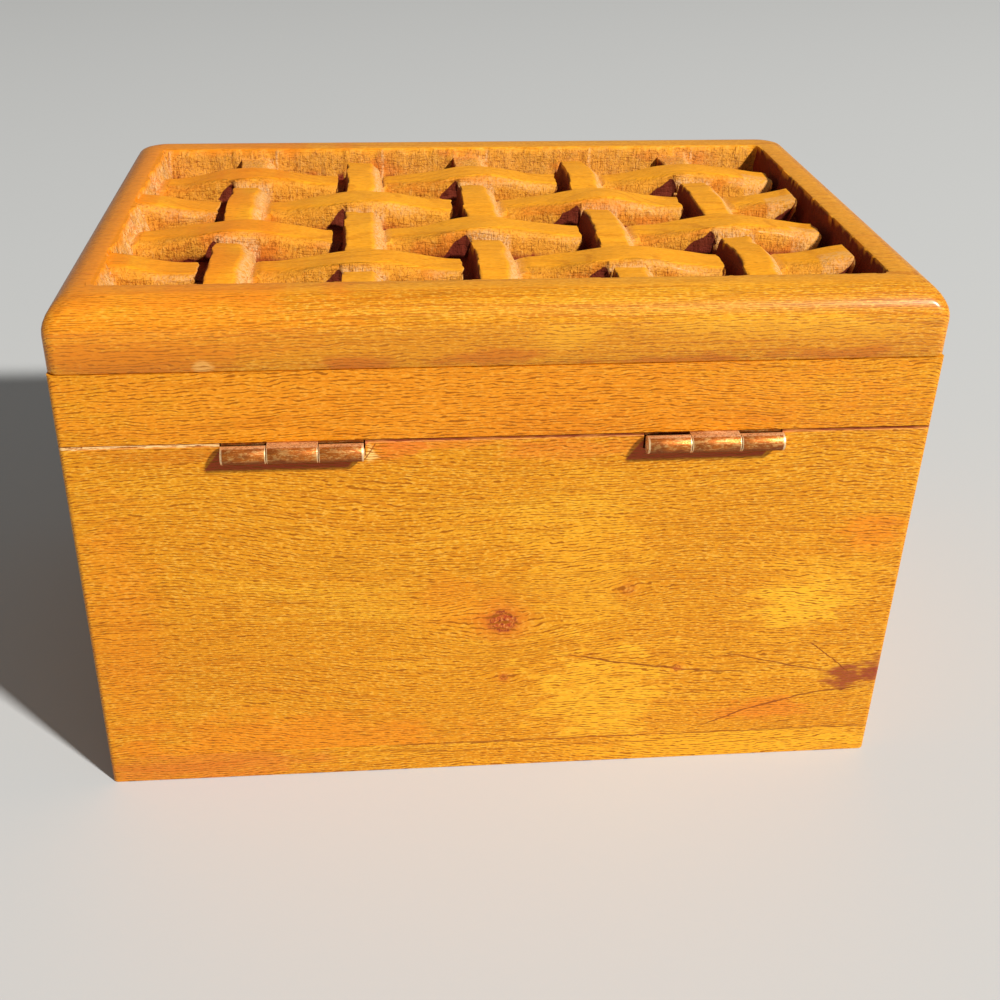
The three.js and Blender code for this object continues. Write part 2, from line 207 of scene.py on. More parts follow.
class NodeSheet:
    """Node tree of one material, with short ways to add and join nodes."""

    def __init__(self, name: str) -> None:
        """Starts an empty tree.

        Args:
            name: Name of the new material.
        """
        self.material = bpy.data.materials.new(name)
        self.material.use_nodes = True
        self.tree = self.material.node_tree
        self.tree.nodes.clear()

    def add(self, kind: str, inputs: dict[str | int, Feed],
            settings: dict[str, object] | None = None) -> bpy.types.Node:
        """Adds a node.

        Args:
            kind: Blender's type name without "ShaderNode" in front.
            inputs: What each named or numbered input gets.
            settings: Properties to set on the node.

        Returns:
            The new node.
        """
        node = self.tree.nodes.new("ShaderNode" + kind)
        for name, value in (settings or {}).items():
            setattr(node, name, value)
        for name, value in inputs.items():
            if isinstance(value, Wire):
                self.tree.links.new(value.socket, node.inputs[name])
            else:
                node.inputs[name].default_value = value
        return node

    def wire(self, kind: str, inputs: dict[str | int, Feed], output: str | int = 0,
             settings: dict[str, object] | None = None) -> Wire:
        """Adds a node as add does, and gives that output of it."""
        return Wire(self, self.add(kind, inputs, settings).outputs[output])

    def math(self, kind: str, first: Feed, second: Feed = 0.0) -> Wire:
        """Result of a Math node of that kind."""
        return self.wire("Math", {0: first, 1: second}, settings={"operation": kind})

    def vector(self, kind: str, first: Feed, second: Feed) -> Wire:
        """The vector that a Vector Math node of that kind gives."""
        return self.wire("VectorMath", {0: first, 1: second}, "Vector", {"operation": kind})

    def length(self, vector: Wire) -> Wire:
        """The length of a vector."""
        return self.wire("VectorMath", {0: vector}, "Value", {"operation": "LENGTH"})

    def parts(self, vector: Wire) -> tuple[Wire, Wire, Wire]:
        """The X, Y and Z of a vector."""
        x, y, z = self.add("SeparateXYZ", {0: vector}).outputs
        return Wire(self, x), Wire(self, y), Wire(self, z)

    def join(self, x: Feed, y: Feed, z: Feed) -> Wire:
        """A vector from its X, Y and Z."""
        return self.wire("CombineXYZ", {0: x, 1: y, 2: z})

    def reach(self, face: Wire, middle: tuple[float, float], scale: tuple[float, float]) -> Wire:
        """Distance on a face from a middle, where each axis has a scale of its own."""
        offset = self.vector("SUBTRACT", face, (*middle, 0.0))
        return self.length(self.vector("MULTIPLY", offset, (*scale, 0.0)))

    def cloud(self, place: Wire, stretch: Sequence[float], detail: float = 2.0,
              roughness: float = 0.5, warp: float = 0.0) -> Wire:
        """Noise of about 0.2 to 0.8.

        Args:
            place: Coordinates in millimetres.
            stretch: How many humps there are to a millimetre along each axis.
            detail: Octaves of finer noise.
            roughness: Strength of the finer noise.
            warp: How far the pattern is distorted by itself.

        Returns:
            The noise.
        """
        return self.wire("TexNoise", {
            "Vector": self.vector("MULTIPLY", place, tuple(stretch)), "Scale": 1.0,
            "Detail": detail, "Roughness": roughness, "Distortion": warp,
        }, "Fac")

    def paint(self, colour: Feed, *coats: tuple[Wire, Feed]) -> Wire:
        """Lays coats over a colour, one after the other.

        Args:
            colour: The colour under them.
            coats: How much of each coat there is, from 0 to 1, and its colour.

        Returns:
            The colour on top.
        """
        for share, coat in coats:
            colour = self.wire("Mix", {0: share, 6: colour, 7: coat}, 2, {"data_type": "RGBA"})
        return colour

    def shades(self, value: Wire, stops: Sequence[tuple[float, Colour]]) -> Wire:
        """A colour ramp.

        Args:
            value: What runs through the ramp.
            stops: Places from 0 to 1 with their colours.

        Returns:
            The colour.
        """
        node = self.add("ValToRGB", {0: value})
        node.color_ramp.interpolation = "EASE"
        marks = node.color_ramp.elements
        while len(marks) < len(stops):
            marks.new(0.5)
        for mark, (position, colour) in zip(marks, stops):
            mark.position = position
            mark.color = colour
        return Wire(self, node.outputs["Color"])

    def attribute(self, name: str) -> Wire:
        """A number that the mesh carries at its vertices."""
        return self.wire("Attribute", {}, "Fac", {"attribute_name": name})

    def millimetres(self) -> Wire:
        """Object coordinates in millimetres."""
        return self.vector("MULTIPLY", self.wire("TexCoord", {}, "Object"), (METRE,) * 3)

    def surface(self, values: dict[str, Feed], relief: Wire | None = None,
                depth: float = 0.0) -> bpy.types.Material:
        """Ends the tree with one principled surface.

        Args:
            values: What each named input of the surface gets.
            relief: Relief of 0 to 1, or nothing for a smooth surface.
            depth: Depth of that relief in millimetres.

        Returns:
            The finished material.
        """
        if relief is not None:
            values["Normal"] = self.wire("Bump", {
                "Strength": 1.0, "Distance": depth * MM, "Height": relief}, "Normal")
        self.add("OutputMaterial", {"Surface": self.wire("BsdfPrincipled", values)})
        return self.material


@dataclass(frozen=True)
class WoodTones:
    """Colours of one kind of board, from its darkest fibres to its palest."""

    deep: Colour = tone(202, 117, 12)
    middle: Colour = tone(218, 143, 22)
    bright: Colour = tone(229, 164, 34)
    light: Colour = tone(239, 176, 66)
    pore: Colour = tone(152, 82, 0)
    growth: Colour = tone(182, 92, 8)


@dataclass(frozen=True)
class MarkTones:
    """Colours of what time left on a board: its worn edge, its cracks and its knots."""

    line: Colour = tone(244, 152, 88)
    seam: Colour = tone(112, 30, 16)
    chip: Colour = tone(246, 196, 128)
    crack: Colour = tone(116, 46, 10)
    halo: Colour = tone(212, 104, 30)
    knot: Colour = tone(166, 64, 30)
    ring: Colour = tone(82, 20, 18)
    fleck: Colour = tone(238, 164, 112)


@dataclass(frozen=True)
class CutTones:
    """Colours of the carved wood, by the tool and the place, and the painted light and shade of the
    carving.
    """

    # Lighter tone painted on the carved recess and the border top, as painted light
    knife: Colour = tone(255, 168, 34)
    gouge: Colour = tone(222, 148, 46)
    blush: Colour = tone(216, 120, 36)
    hatch: Colour = tone(152, 76, 16)
    upright: Colour = tone(150, 70, 18)
    level: Colour = tone(158, 76, 20)
    nick: Colour = tone(226, 164, 78)
    # Pale chips, also painted on faces towards the lamp as painted light
    chip: Colour = tone(234, 182, 120)
    # Painted shade in the recess
    recess_shade: Colour = tone(132, 45, 26)
    # Painted shadow of a warp on the weft beside it
    shaded_pit: Colour = tone(102, 32, 20)


@dataclass(frozen=True)
class Patch:
    """Soft-edged patch of another tone on one face, centred at (along, height)."""

    along: float
    height: float
    half_along: float
    half_height: float
    colour: Colour
    strength: float
    ragged: float = 0.5


@dataclass(frozen=True)
class Crack:
    """Fine dark drying crack on one face, from start to end as (along, height)."""

    start: tuple[float, float]
    end: tuple[float, float]
    sag: float
    width: float
    strength: float
    wander: float = 2.4


@dataclass(frozen=True)
class PaintedShadow:
    """Painted shadow below a hinge: a dark band from start to end along its face."""

    start: float
    end: float
    low: float
    high: float
    slant: float
    colour: Colour
    strength: float
    blur: float = 0.4


@dataclass(frozen=True)
class Knot:
    """Knot that the fibres flow round, centred at (along, height)."""

    along: float
    height: float
    radius: float
    strength: float
    flow_reach: float = 3.5
    flow_pull: float = 0.75


@dataclass(frozen=True)
class WoodFinish:
    """Varnished hardwood with long fibres, fine dark pores and slow changes of tone."""

    name: str
    grain: Grain = Grain.LENGTHWISE
    tones: WoodTones = WoodTones()
    marks: MarkTones = MarkTones()
    cuts: CutTones = CutTones()
    seed: float = 0.0
    pore_strength: float = 0.9
    dash_spacing: float = 0.82
    streak_strength: float = 0.35
    growth_strength: float = 0.25
    year_width: float = 3.1
    wander: float = 22.0
    dive: float = 0.12
    roughness: float = 0.46
    cut_roughness: float = 0.28
    varnish: float = 0.06
    varnish_roughness: float = 0.22
    specular: float = 0.14
    grain_depth: float = 0.05
    cut_depth: float = 0.3
    worn_height: float = 0.0
    worn_from: float = 0.0
    worn_along: tuple[float, float] = (30.0, 80.0)
    patches: tuple[Patch, ...] = ()
    cracks: tuple[Crack, ...] = ()
    painted_shadows: tuple[PaintedShadow, ...] = ()
    knots: tuple[Knot, ...] = ()
    carved: bool = False

    def material(self) -> bpy.types.Material:
        """Builds the finish as a node material.

        Returns:
            The material.
        """
        sheet = NodeSheet(self.name)
        place = sheet.millimetres()
        along, across, height = sheet.parts(place)
        if self.grain is Grain.CROSSWISE:
            along, across = across, along
        flow = self.flow(sheet, along, across, height)
        streaks = sheet.cloud(flow, (0.012, 0.3, 0.3), detail=3.0, roughness=0.6)
        slow = sheet.cloud(flow, (0.006, 0.022, 0.022), detail=2.0)
        fibres = sheet.cloud(flow, (0.9, 2.1, 2.1), detail=1.0)
        lines = sheet.cloud(flow, (0.05, 1.3, 1.3), detail=1.0)
        level = streaks * self.streak_strength + slow * (1 - self.streak_strength)
        colour = sheet.shades(level, (
            (0.3, self.tones.deep), (0.5, self.tones.middle), (0.7, self.tones.bright)))
        colour = sheet.paint(
            colour,
            (fibres.step(0.34, 0.54, 0.45, 0.0), self.tones.deep),
            (fibres.step(0.53, 0.68, 0.0, 0.55), self.tones.light),
            (lines.step(0.6, 0.74, 0.0, 0.4), self.tones.pore))
        growth = self.growth(sheet, flow, fibres)
        pores = self.dashes(sheet, flow)
        if self.carved:
            knife = sheet.attribute("knife_cut_and_light")
            plain = knife.step(0.0, 1.0, 1.0, 0.55)
            growth, pores = growth * plain, pores * plain
            # Painted light: the carved recess and the border top get a lighter tone, as on brightly
            # lit tops
            colour = sheet.paint(colour, (knife * 0.65, self.cuts.knife))
        colour = sheet.paint(colour, (growth, self.tones.growth))
        face = sheet.join(along, height, 0.0)
        colour = self.mark(sheet, colour, face)
        if self.worn_height:
            colour = self.worn_edge(sheet, colour, face, across)
        colour = sheet.paint(colour, (pores * self.pore_strength, self.tones.pore))
        relief, depth = fibres * 0.4 - pores, self.grain_depth
        gloss = fibres.step(0.3, 0.7, self.roughness - 0.05, self.roughness + 0.08)
        if self.carved:
            colour, relief, gloss = self.cut_marks(sheet, place, colour, relief)
            depth = self.cut_depth
        return sheet.surface({
            "Base Color": colour,
            "Roughness": gloss,
            "Coat Weight": self.varnish,
            "Coat Roughness": self.varnish_roughness,
            "Specular IOR Level": self.specular,
        }, relief, depth)

    def flow(self, sheet: NodeSheet, along: Wire, across: Wire, height: Wire) -> Wire:
        """Coordinates that follow the fibres: they wander, and part round each knot.

        Args:
            sheet: Tree to build in.
            along: Place along the fibres, in millimetres.
            across: Place through the board.
            height: Height above the floor.

        Returns:
            The coordinates as a vector in millimetres.
        """
        plain = sheet.join(along, abs(across), height)
        plain = sheet.vector("ADD", plain, (self.seed * 71.0, self.seed * 13.0, self.seed * 29.0))
        drift = sheet.cloud(plain, (0.009, 0.016, 0.016), detail=1.0)
        shift = (drift - 0.5) * self.wander
        for knot in self.knots:
            above = height - knot.height
            away = sheet.length(sheet.join((along - knot.along) * 0.5, above, 0.0))
            shift -= above * away.step(0.0, knot.radius * knot.flow_reach, knot.flow_pull, 0.0)
        return sheet.vector("ADD", plain, sheet.join(0.0, shift * self.dive, shift))

    def dashes(self, sheet: NodeSheet, flow: Wire) -> Wire:
        """Short wavy dark dashes along the fibres, at a nearly regular spacing.

        Args:
            sheet: Tree to build in.
            flow: Coordinates that follow the fibres.

        Returns:
            How much a place belongs to a dash, from 0 to 1.
        """
        bend = sheet.cloud(flow, (0.13, 0.4, 0.4), detail=2.0)
        breaks = sheet.cloud(flow, (0.5, 1.7, 1.7), detail=1.5)
        _, across, height = sheet.parts(flow)
        level = (height - across) / self.dash_spacing + bend * 2.8
        gap = abs((level * math.pi).sine())
        return (gap * -2.0 + breaks * 4.5).step(1.2, 2.2)

    def growth(self, sheet: NodeSheet, flow: Wire, fibres: Wire) -> Wire:
        """The long dark lines between years of growth.

        Args:
            sheet: Tree to build in.
            flow: Coordinates that follow the fibres.
            fibres: Noise of the fibres, which frays the lines.

        Returns:
            How much a place belongs to such a line.
        """
        bend = sheet.cloud(flow, (0.008, 0.045, 0.045), detail=1.5)
        patchy = sheet.cloud(flow, (0.02, 0.11, 0.11), detail=1.0)
        _, across, height = sheet.parts(flow)
        year = (height + across * -0.4) / self.year_width + bend * 7.0
        band = ((year * TURN).sine() + fibres * -0.9).step(0.1, 0.5)
        return band * patchy.step(0.38, 0.6, 0.2 * self.growth_strength, self.growth_strength)

    def mark(self, sheet: NodeSheet, colour: Wire, face: Wire) -> Wire:
        """Lays the patches, cracks, painted hinge shadows and knots over a colour.

        Args:
            sheet: Tree to build in.
            colour: Colour under the marks.
            face: Coordinates on the face, as (along, height, 0) in millimetres.

        Returns:
            The marked colour.
        """
        if not (self.patches or self.cracks or self.painted_shadows or self.knots):
            return colour
        rough = sheet.cloud(face, (0.09, 0.22, 1.0), detail=3.0, roughness=0.65) - 0.5
        for patch in self.patches:
            away = sheet.reach(face, (patch.along, patch.height),
                               (1 / patch.half_along, 1 / patch.half_height))
            away += rough * (patch.ragged * 4)
            colour = sheet.paint(colour, (away.step(0.35, 1.1, patch.strength, 0.0), patch.colour))
        for crack in self.cracks:
            colour = self.crack(sheet, colour, face, crack, rough)
        # Painted shadows below the hinges
        for painted_shade in self.painted_shadows:
            colour = self.painted_shade(sheet, colour, face, painted_shade)
        for knot in self.knots:
            colour = self.knot(sheet, colour, face, knot, rough)
        return colour

    def crack(self, sheet: NodeSheet, colour: Wire, face: Wire, crack: Crack,
              rough: Wire) -> Wire:
        """Draws one crack as a thin wandering line that fades at both ends.

        Args:
            sheet: Tree to build in.
            colour: Colour under the crack.
            face: Coordinates on the face.
            crack: The crack.
            rough: Noise round 0 that makes it wander.

        Returns:
            The marked colour.
        """
        (x0, z0), (x1, z1) = crack.start, crack.end
        along, height, _ = sheet.parts(face)
        share = (along - x0) / (x1 - x0)
        arch = share * (1.0 - share)
        line = share * (z1 - z0) + arch * (-4 * crack.sag) + rough * crack.wander
        gap = abs(height - z0 - line)
        thin = gap.step(crack.width * 0.3, crack.width, crack.strength, 0.0)
        return sheet.paint(colour, (thin * arch.step(0.0, 0.09), self.marks.crack))

    @staticmethod
    def painted_shade(sheet: NodeSheet, colour: Wire, face: Wire, painted_shade: PaintedShadow) -> Wire:
        """Draws one painted hinge shadow as a band with straight soft edges, whose ends lean the
        way the shadow falls.

        Args:
            sheet: Tree to build in.
            colour: Colour under the band.
            face: Coordinates on the face.
            painted_shade: The band.

        Returns:
            The marked colour.
        """
        along, height, _ = sheet.parts(face)
        along -= (painted_shade.high - height) * painted_shade.slant
        share = along.step(painted_shade.start - painted_shade.blur, painted_shade.start + painted_shade.blur)
        share *= along.step(painted_shade.end - painted_shade.blur, painted_shade.end + painted_shade.blur, 1.0, 0.0)
        share *= height.step(painted_shade.low - painted_shade.blur, painted_shade.low + painted_shade.blur)
        return sheet.paint(colour, (share * painted_shade.strength, painted_shade.colour))

    def knot(self, sheet: NodeSheet, colour: Wire, face: Wire, knot: Knot, rough: Wire) -> Wire:
        """Draws one knot: a reddish halo, rings and a dark heart with pale flecks.

        Args:
            sheet: Tree to build in.
            colour: Colour under the knot.
            face: Coordinates on the face.
            knot: The knot.
            rough: Noise round 0 that makes its outline ragged.

        Returns:
            The marked colour.
        """
        away = sheet.reach(face, (knot.along, knot.height),
                           (0.92 / knot.radius, 0.95 / knot.radius)) + rough * 1.1
        mottle = sheet.cloud(face, (1.3, 1.0, 1.0), detail=3.0, roughness=0.7)
        halo = away.step(0.7, 2.3, 0.45 * knot.strength, 0.0)
        body = away.step(0.55, 1.1, knot.strength, 0.0) * mottle.step(0.4, 0.6, 1.0, 0.35)
        rings = (away * 12.0).sine().step(-0.1, 0.9, 0.0, 0.75 * knot.strength)
        rings *= mottle.step(0.35, 0.55, 1.0, 0.2)
        rings *= away.step(0.6, 1.0, 1.0, 0.0)
        flecks = mottle.step(0.56, 0.68, 0.0, 0.6 * knot.strength) * away.step(0.3, 0.8, 1.0, 0.0)
        return sheet.paint(colour, (halo, self.marks.halo), (body, self.marks.knot),
                           (rings, self.marks.ring), (flecks, self.marks.fleck))

    def worn_edge(self, sheet: NodeSheet, colour: Wire, face: Wire, across: Wire) -> Wire:
        """Draws the outer top edge of a board: a pale line, a dark seam above it, and chips.

        Args:
            sheet: Tree to build in.
            colour: Colour under the marks.
            face: Coordinates on the face, as (along, height, 0) in millimetres.
            across: Place through the board, in millimetres.

        Returns:
            The marked colour, which has its chips towards +X.
        """
        top = self.worn_height
        along, height, _ = sheet.parts(face)
        outer = across.step(self.worn_from - 0.15, self.worn_from + 0.15)
        line = height.step(top - 1.0, top - 0.6, 0.0, 0.5)
        broken = sheet.cloud(face, (0.07, 0.0, 0.0), detail=2.0)
        seam = height.step(top - 0.5, top - 0.38) * broken.step(0.34, 0.54, 0.45, 0.92)
        chips = sheet.cloud(face, (0.22, 0.9, 1.0), detail=3.0, roughness=0.7)
        edge = height.step(top - 1.3, top)
        worn = (chips + edge * 0.3).step(0.65, 0.74) * edge.step(0.0, 0.2)
        worn *= along.step(*self.worn_along, 0.0, 0.95)
        return sheet.paint(colour, (line * outer, self.marks.line), (seam * outer, self.marks.seam),
                           (worn * outer, self.marks.chip))

    def cut_marks(self, sheet: NodeSheet, place: Wire, colour: Wire,
                  relief: Wire) -> tuple[Wire, Wire, Wire]:
        """Adds what the carver's tools left where the mesh says how the wood was cut, and the
        painted light and shade that the mesh carries.

        Args:
            sheet: Tree to build in.
            place: Object coordinates in millimetres.
            colour: Colour of the bare board.
            relief: Relief of the bare board.

        Returns:
            The colour, the relief and the roughness of the carved board.
        """
        rough = sheet.attribute("rough_cut")
        # Pale chips, partly painted light on faces towards the lamp
        pale = sheet.attribute("pale_chips_and_light")
        recess_shade = sheet.attribute("recess_shade").step(0.05, 0.6)
        hatch = sheet.cloud(place, (1.5, 1.1, 1.1), detail=3.0, roughness=0.7, warp=0.8)
        nicks = sheet.cloud(place, (0.9, 0.9, 0.45), detail=3.0, roughness=0.65)
        uprights = sheet.cloud(place, (1.7, 1.2, 0.22), detail=2.0, roughness=0.6)
        levels = sheet.cloud(place, (0.3, 1.2, 1.9), detail=2.0, roughness=0.6)
        blush = sheet.cloud(place, (0.06, 0.08, 0.1), detail=2.0)
        flakes = sheet.cloud(place, (1.3, 1.3, 0.9), detail=3.0, roughness=0.7)
        shaded_pit = (sheet.attribute("shaded_pit") + (nicks - 0.5) * 0.2).step(0.47, 0.54)
        speckle = sheet.paint(
            self.cuts.gouge,
            (blush.step(0.5, 0.66), self.cuts.blush),
            (hatch.step(0.38, 0.48, 0.8, 0.0), self.cuts.hatch),
            (uprights.step(0.34, 0.42, 0.5, 0.0), self.cuts.upright),
            (levels.step(0.35, 0.42, 0.4, 0.0), self.cuts.level),
            (nicks.step(0.54, 0.66, 0.0, 0.5), self.cuts.nick))
        # Painted light and shade: a pale tone on faces towards the lamp, painted shade in the
        # recess, and the warps' painted shadows
        colour = sheet.paint(
            colour,
            (rough * 0.85, speckle),
            (pale * flakes.step(0.4, 0.56, 0.15, 1.0), self.cuts.chip),
            (recess_shade * 0.97, self.cuts.recess_shade),
            (shaded_pit * 0.97, self.cuts.shaded_pit))
        strokes = (uprights.step(0.3, 0.5) + levels.step(0.3, 0.5)) * 0.4 + (hatch + nicks)
        relief = relief * 0.17 + rough * (strokes + flakes * pale)
        gloss = rough.highest(recess_shade.highest(shaded_pit)) * self.cut_roughness + self.roughness
        return colour, relief, gloss


@dataclass(frozen=True)
class BrassFinish:
    """Old brass: browned all over, with bright metal where it is rubbed, painted shade low on each
    barrel and a painted highlight along its top.
    """

    name: str
    brown: Colour = tone(192, 106, 30)
    dark: Colour = tone(112, 52, 20)
    bright: Colour = tone(240, 192, 116)
    pale: Colour = tone(222, 176, 104)
    # Pale tone of the old lacquer at the knuckle ends, and of the painted highlight along the
    # barrels
    edge: Colour = tone(240, 206, 156)
    worn: float = 0.2
    metal: float = 0.7
    gloss: float = 0.42
    scratch_depth: float = 0.04
    hinge_middle: float = 55.1
    knuckle_joint: float = 6.62
    knuckle_end: float = 18.2
    # Heights of the painted shade low on each barrel and of the painted highlight along its top
    painted_shade_heights: tuple[float, float] = (110.4, 112.0)
    glint_heights: tuple[float, float] = (111.5, 112.5)
    knuckle_start: tuple[float, float] = (76.6, 77.2)
    knuckle_back: tuple[float, float] = (79.3, 79.9)

    def material(self) -> bpy.types.Material:
        """Builds the finish as a node material.

        Returns:
            The material.
        """
        sheet = NodeSheet(self.name)
        place = sheet.millimetres()
        along, across, height = sheet.parts(place)
        blotches = sheet.cloud(place, (0.25, 0.5, 0.5), detail=2.0, roughness=0.5)
        speckle = sheet.cloud(place, (1.6, 3.0, 3.0), detail=3.0, roughness=0.7)
        scratches = sheet.cloud(place, (0.35, 3.6, 3.6), detail=3.0, roughness=0.6)
        tarnish = sheet.cloud(place, (0.5, 0.9, 0.9), detail=3.0, roughness=0.6)
        rubbed = scratches + speckle * 0.6
        # Painted shade: darker towards the bottom of each barrel
        painted_shade = height + blotches * 1.6
        # Painted highlight along the top of each barrel
        glint = height.step(*self.glint_heights) * across.step(*self.knuckle_back, 1.0, 0.0)
        glint *= speckle.step(0.38, 0.56, 0.2, 0.9)
        lacquer = self.ends(along) * speckle.step(0.34, 0.48, 0.45, 0.9)
        colour = sheet.paint(
            self.brown,
            (blotches.step(0.34, 0.62, 0.5, 0.0), self.dark),
            (speckle.step(0.36, 0.5, 0.5, 0.0), self.dark),
            (scratches.step(0.34, 0.48, 0.45, 0.0), self.dark),
            (rubbed.step(1.06 - self.worn, 1.24 - self.worn, 0.0, 0.85), self.bright),
            (tarnish.step(0.5, 0.6, 0.0, 0.35), self.pale),
            (painted_shade.step(*self.painted_shade_heights, 0.8, 0.0), self.dark),
            (glint.highest(lacquer) * across.step(*self.knuckle_start), self.edge))
        return sheet.surface({
            "Base Color": colour,
            "Metallic": self.metal,
            "Roughness": speckle.step(0.35, 0.6, self.gloss + 0.14, self.gloss),
        }, scratches + speckle, self.scratch_depth)

    def ends(self, along: Wire) -> Wire:
        """How near a place is to an end of a knuckle, where pale old lacquer has gathered.

        Args:
            along: Place along the hinges, in millimetres.

        Returns:
            From 0 far away to 1 at an end.
        """
        away = abs(abs(along) - self.hinge_middle)
        joint = abs(away - self.knuckle_joint).step(0.28, 0.42, 1.0, 0.0)
        return joint.highest(away.step(self.knuckle_end - 0.6, self.knuckle_end - 0.4))


def millimetre_box(node: str) -> tuple[Vector, Vector]:
    """Lowest and highest corner of a CAD node in millimetres."""
    low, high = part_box(node)
    return Vector(low) * METRE, Vector(high) * METRE


def node_copy(node: str) -> bmesh.types.BMesh:
    """Copies the solid of a CAD node in millimetres.

    Args:
        node: Name of the node.

    Returns:
        The solid, with its doubles merged and its flat faces joined.
    """
    bm = bmesh.new()
    bm.from_mesh(frame["nodes"][node].data)
    bmesh.ops.scale(bm, vec=(METRE, METRE, METRE), verts=bm.verts)
    bmesh.ops.remove_doubles(bm, verts=bm.verts, dist=CAD_WELD)
    bmesh.ops.dissolve_limit(bm, angle_limit=math.radians(FLAT_ANGLE), verts=bm.verts,
                             edges=bm.edges)
    return bm


def sharpen(bm: bmesh.types.BMesh, angle: float) -> None:
    """Shades faces smooth, with sharp edges between some of them.

    Args:
        bm: The shape.
        angle: How many degrees an edge turns before it is sharp.
    """
    limit = math.radians(angle)
    for face in bm.faces:
        face.smooth = True
    for edge in bm.edges:
        edge.smooth = len(edge.link_faces) == 2 and edge.calc_face_angle(0.0) < limit


def bevel_edges(bm: bmesh.types.BMesh, edges: Iterable[bmesh.types.BMEdge],
                width: float) -> None:
    """Rounds those edges by a width in millimetres."""
    bmesh.ops.bevel(bm, geom=list(edges), offset=width, offset_type="OFFSET", affect="EDGES",
                    segments=2, profile=0.5, material=-1, clamp_overlap=True)


def turning_edges(bm: bmesh.types.BMesh, angle: float) -> list[bmesh.types.BMEdge]:
    """Convex edges that turn by more than angle degrees."""
    limit = math.radians(angle)
    return [edge for edge in bm.edges
            if len(edge.link_faces) == 2 and edge.calc_face_angle_signed(0.0) > limit]


def make_piece(bm: bmesh.types.BMesh, name: str, nodes: Sequence[str],
               materials: Sequence[bpy.types.Material]) -> bpy.types.Object:
    """Turns a bmesh in millimetres into a piece that stands for CAD nodes and rides with them.

    Args:
        bm: The finished shape, which is freed here.
        name: Name of the piece.
        nodes: CAD nodes that it stands for, all on one body.
        materials: Its materials, by face index.

    Returns:
        The new object.
    """
    bmesh.ops.remove_doubles(bm, verts=bm.verts, dist=WELD)
    bmesh.ops.dissolve_degenerate(bm, edges=bm.edges, dist=WELD)
    bmesh.ops.scale(bm, vec=(MM, MM, MM), verts=bm.verts)
    mesh = bpy.data.meshes.new(name)
    bm.to_mesh(mesh)
    bm.free()
    for material in materials:
        mesh.materials.append(material)
    piece = bpy.data.objects.new(name, mesh)
    bpy.context.scene.collection.objects.link(piece)
    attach(piece, body_of(frame["nodes"][nodes[0]])[0])
    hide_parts(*nodes)
    log.info("%s: %d faces for %s", name, len(mesh.polygons), ", ".join(nodes))
    return piece


@dataclass(frozen=True)
class Cut:
    """One point of the carving: its place and depth, how the wood was cut there, and its painted
    light and shade.
    """

    x: float
    y: float
    depth: float
    rough: float = 0.0
    pale: float = 0.0
    recess_shade: float = 0.0
    shaded_pit: float = 0.0


@dataclass(frozen=True)
class Step:
    """One corner of a side view: where a grid line goes, how the wood is cut there, and its painted
    light and shade.
    """

    line: float
    place: float
    depth: float
    rough: float
    pale: float
    recess_shade: float


def between(steps: Sequence[Step], line: float) -> Step:
    """Finds the point of a side view that a grid line meets.

    Args:
        steps: Corners of the side view, in the order of their lines.
        line: The grid line.

    Returns:
        The point, between two of the corners.
    """
    if line <= steps[0].line:
        return steps[0]
    for before, after in zip(steps, steps[1:]):
        if line <= after.line:
            share = (line - before.line) / (after.line - before.line)
            values = zip(vars(before).values(), vars(after).values())
            return Step(*(mix(first, second, share) for first, second in values))
    return steps[-1]


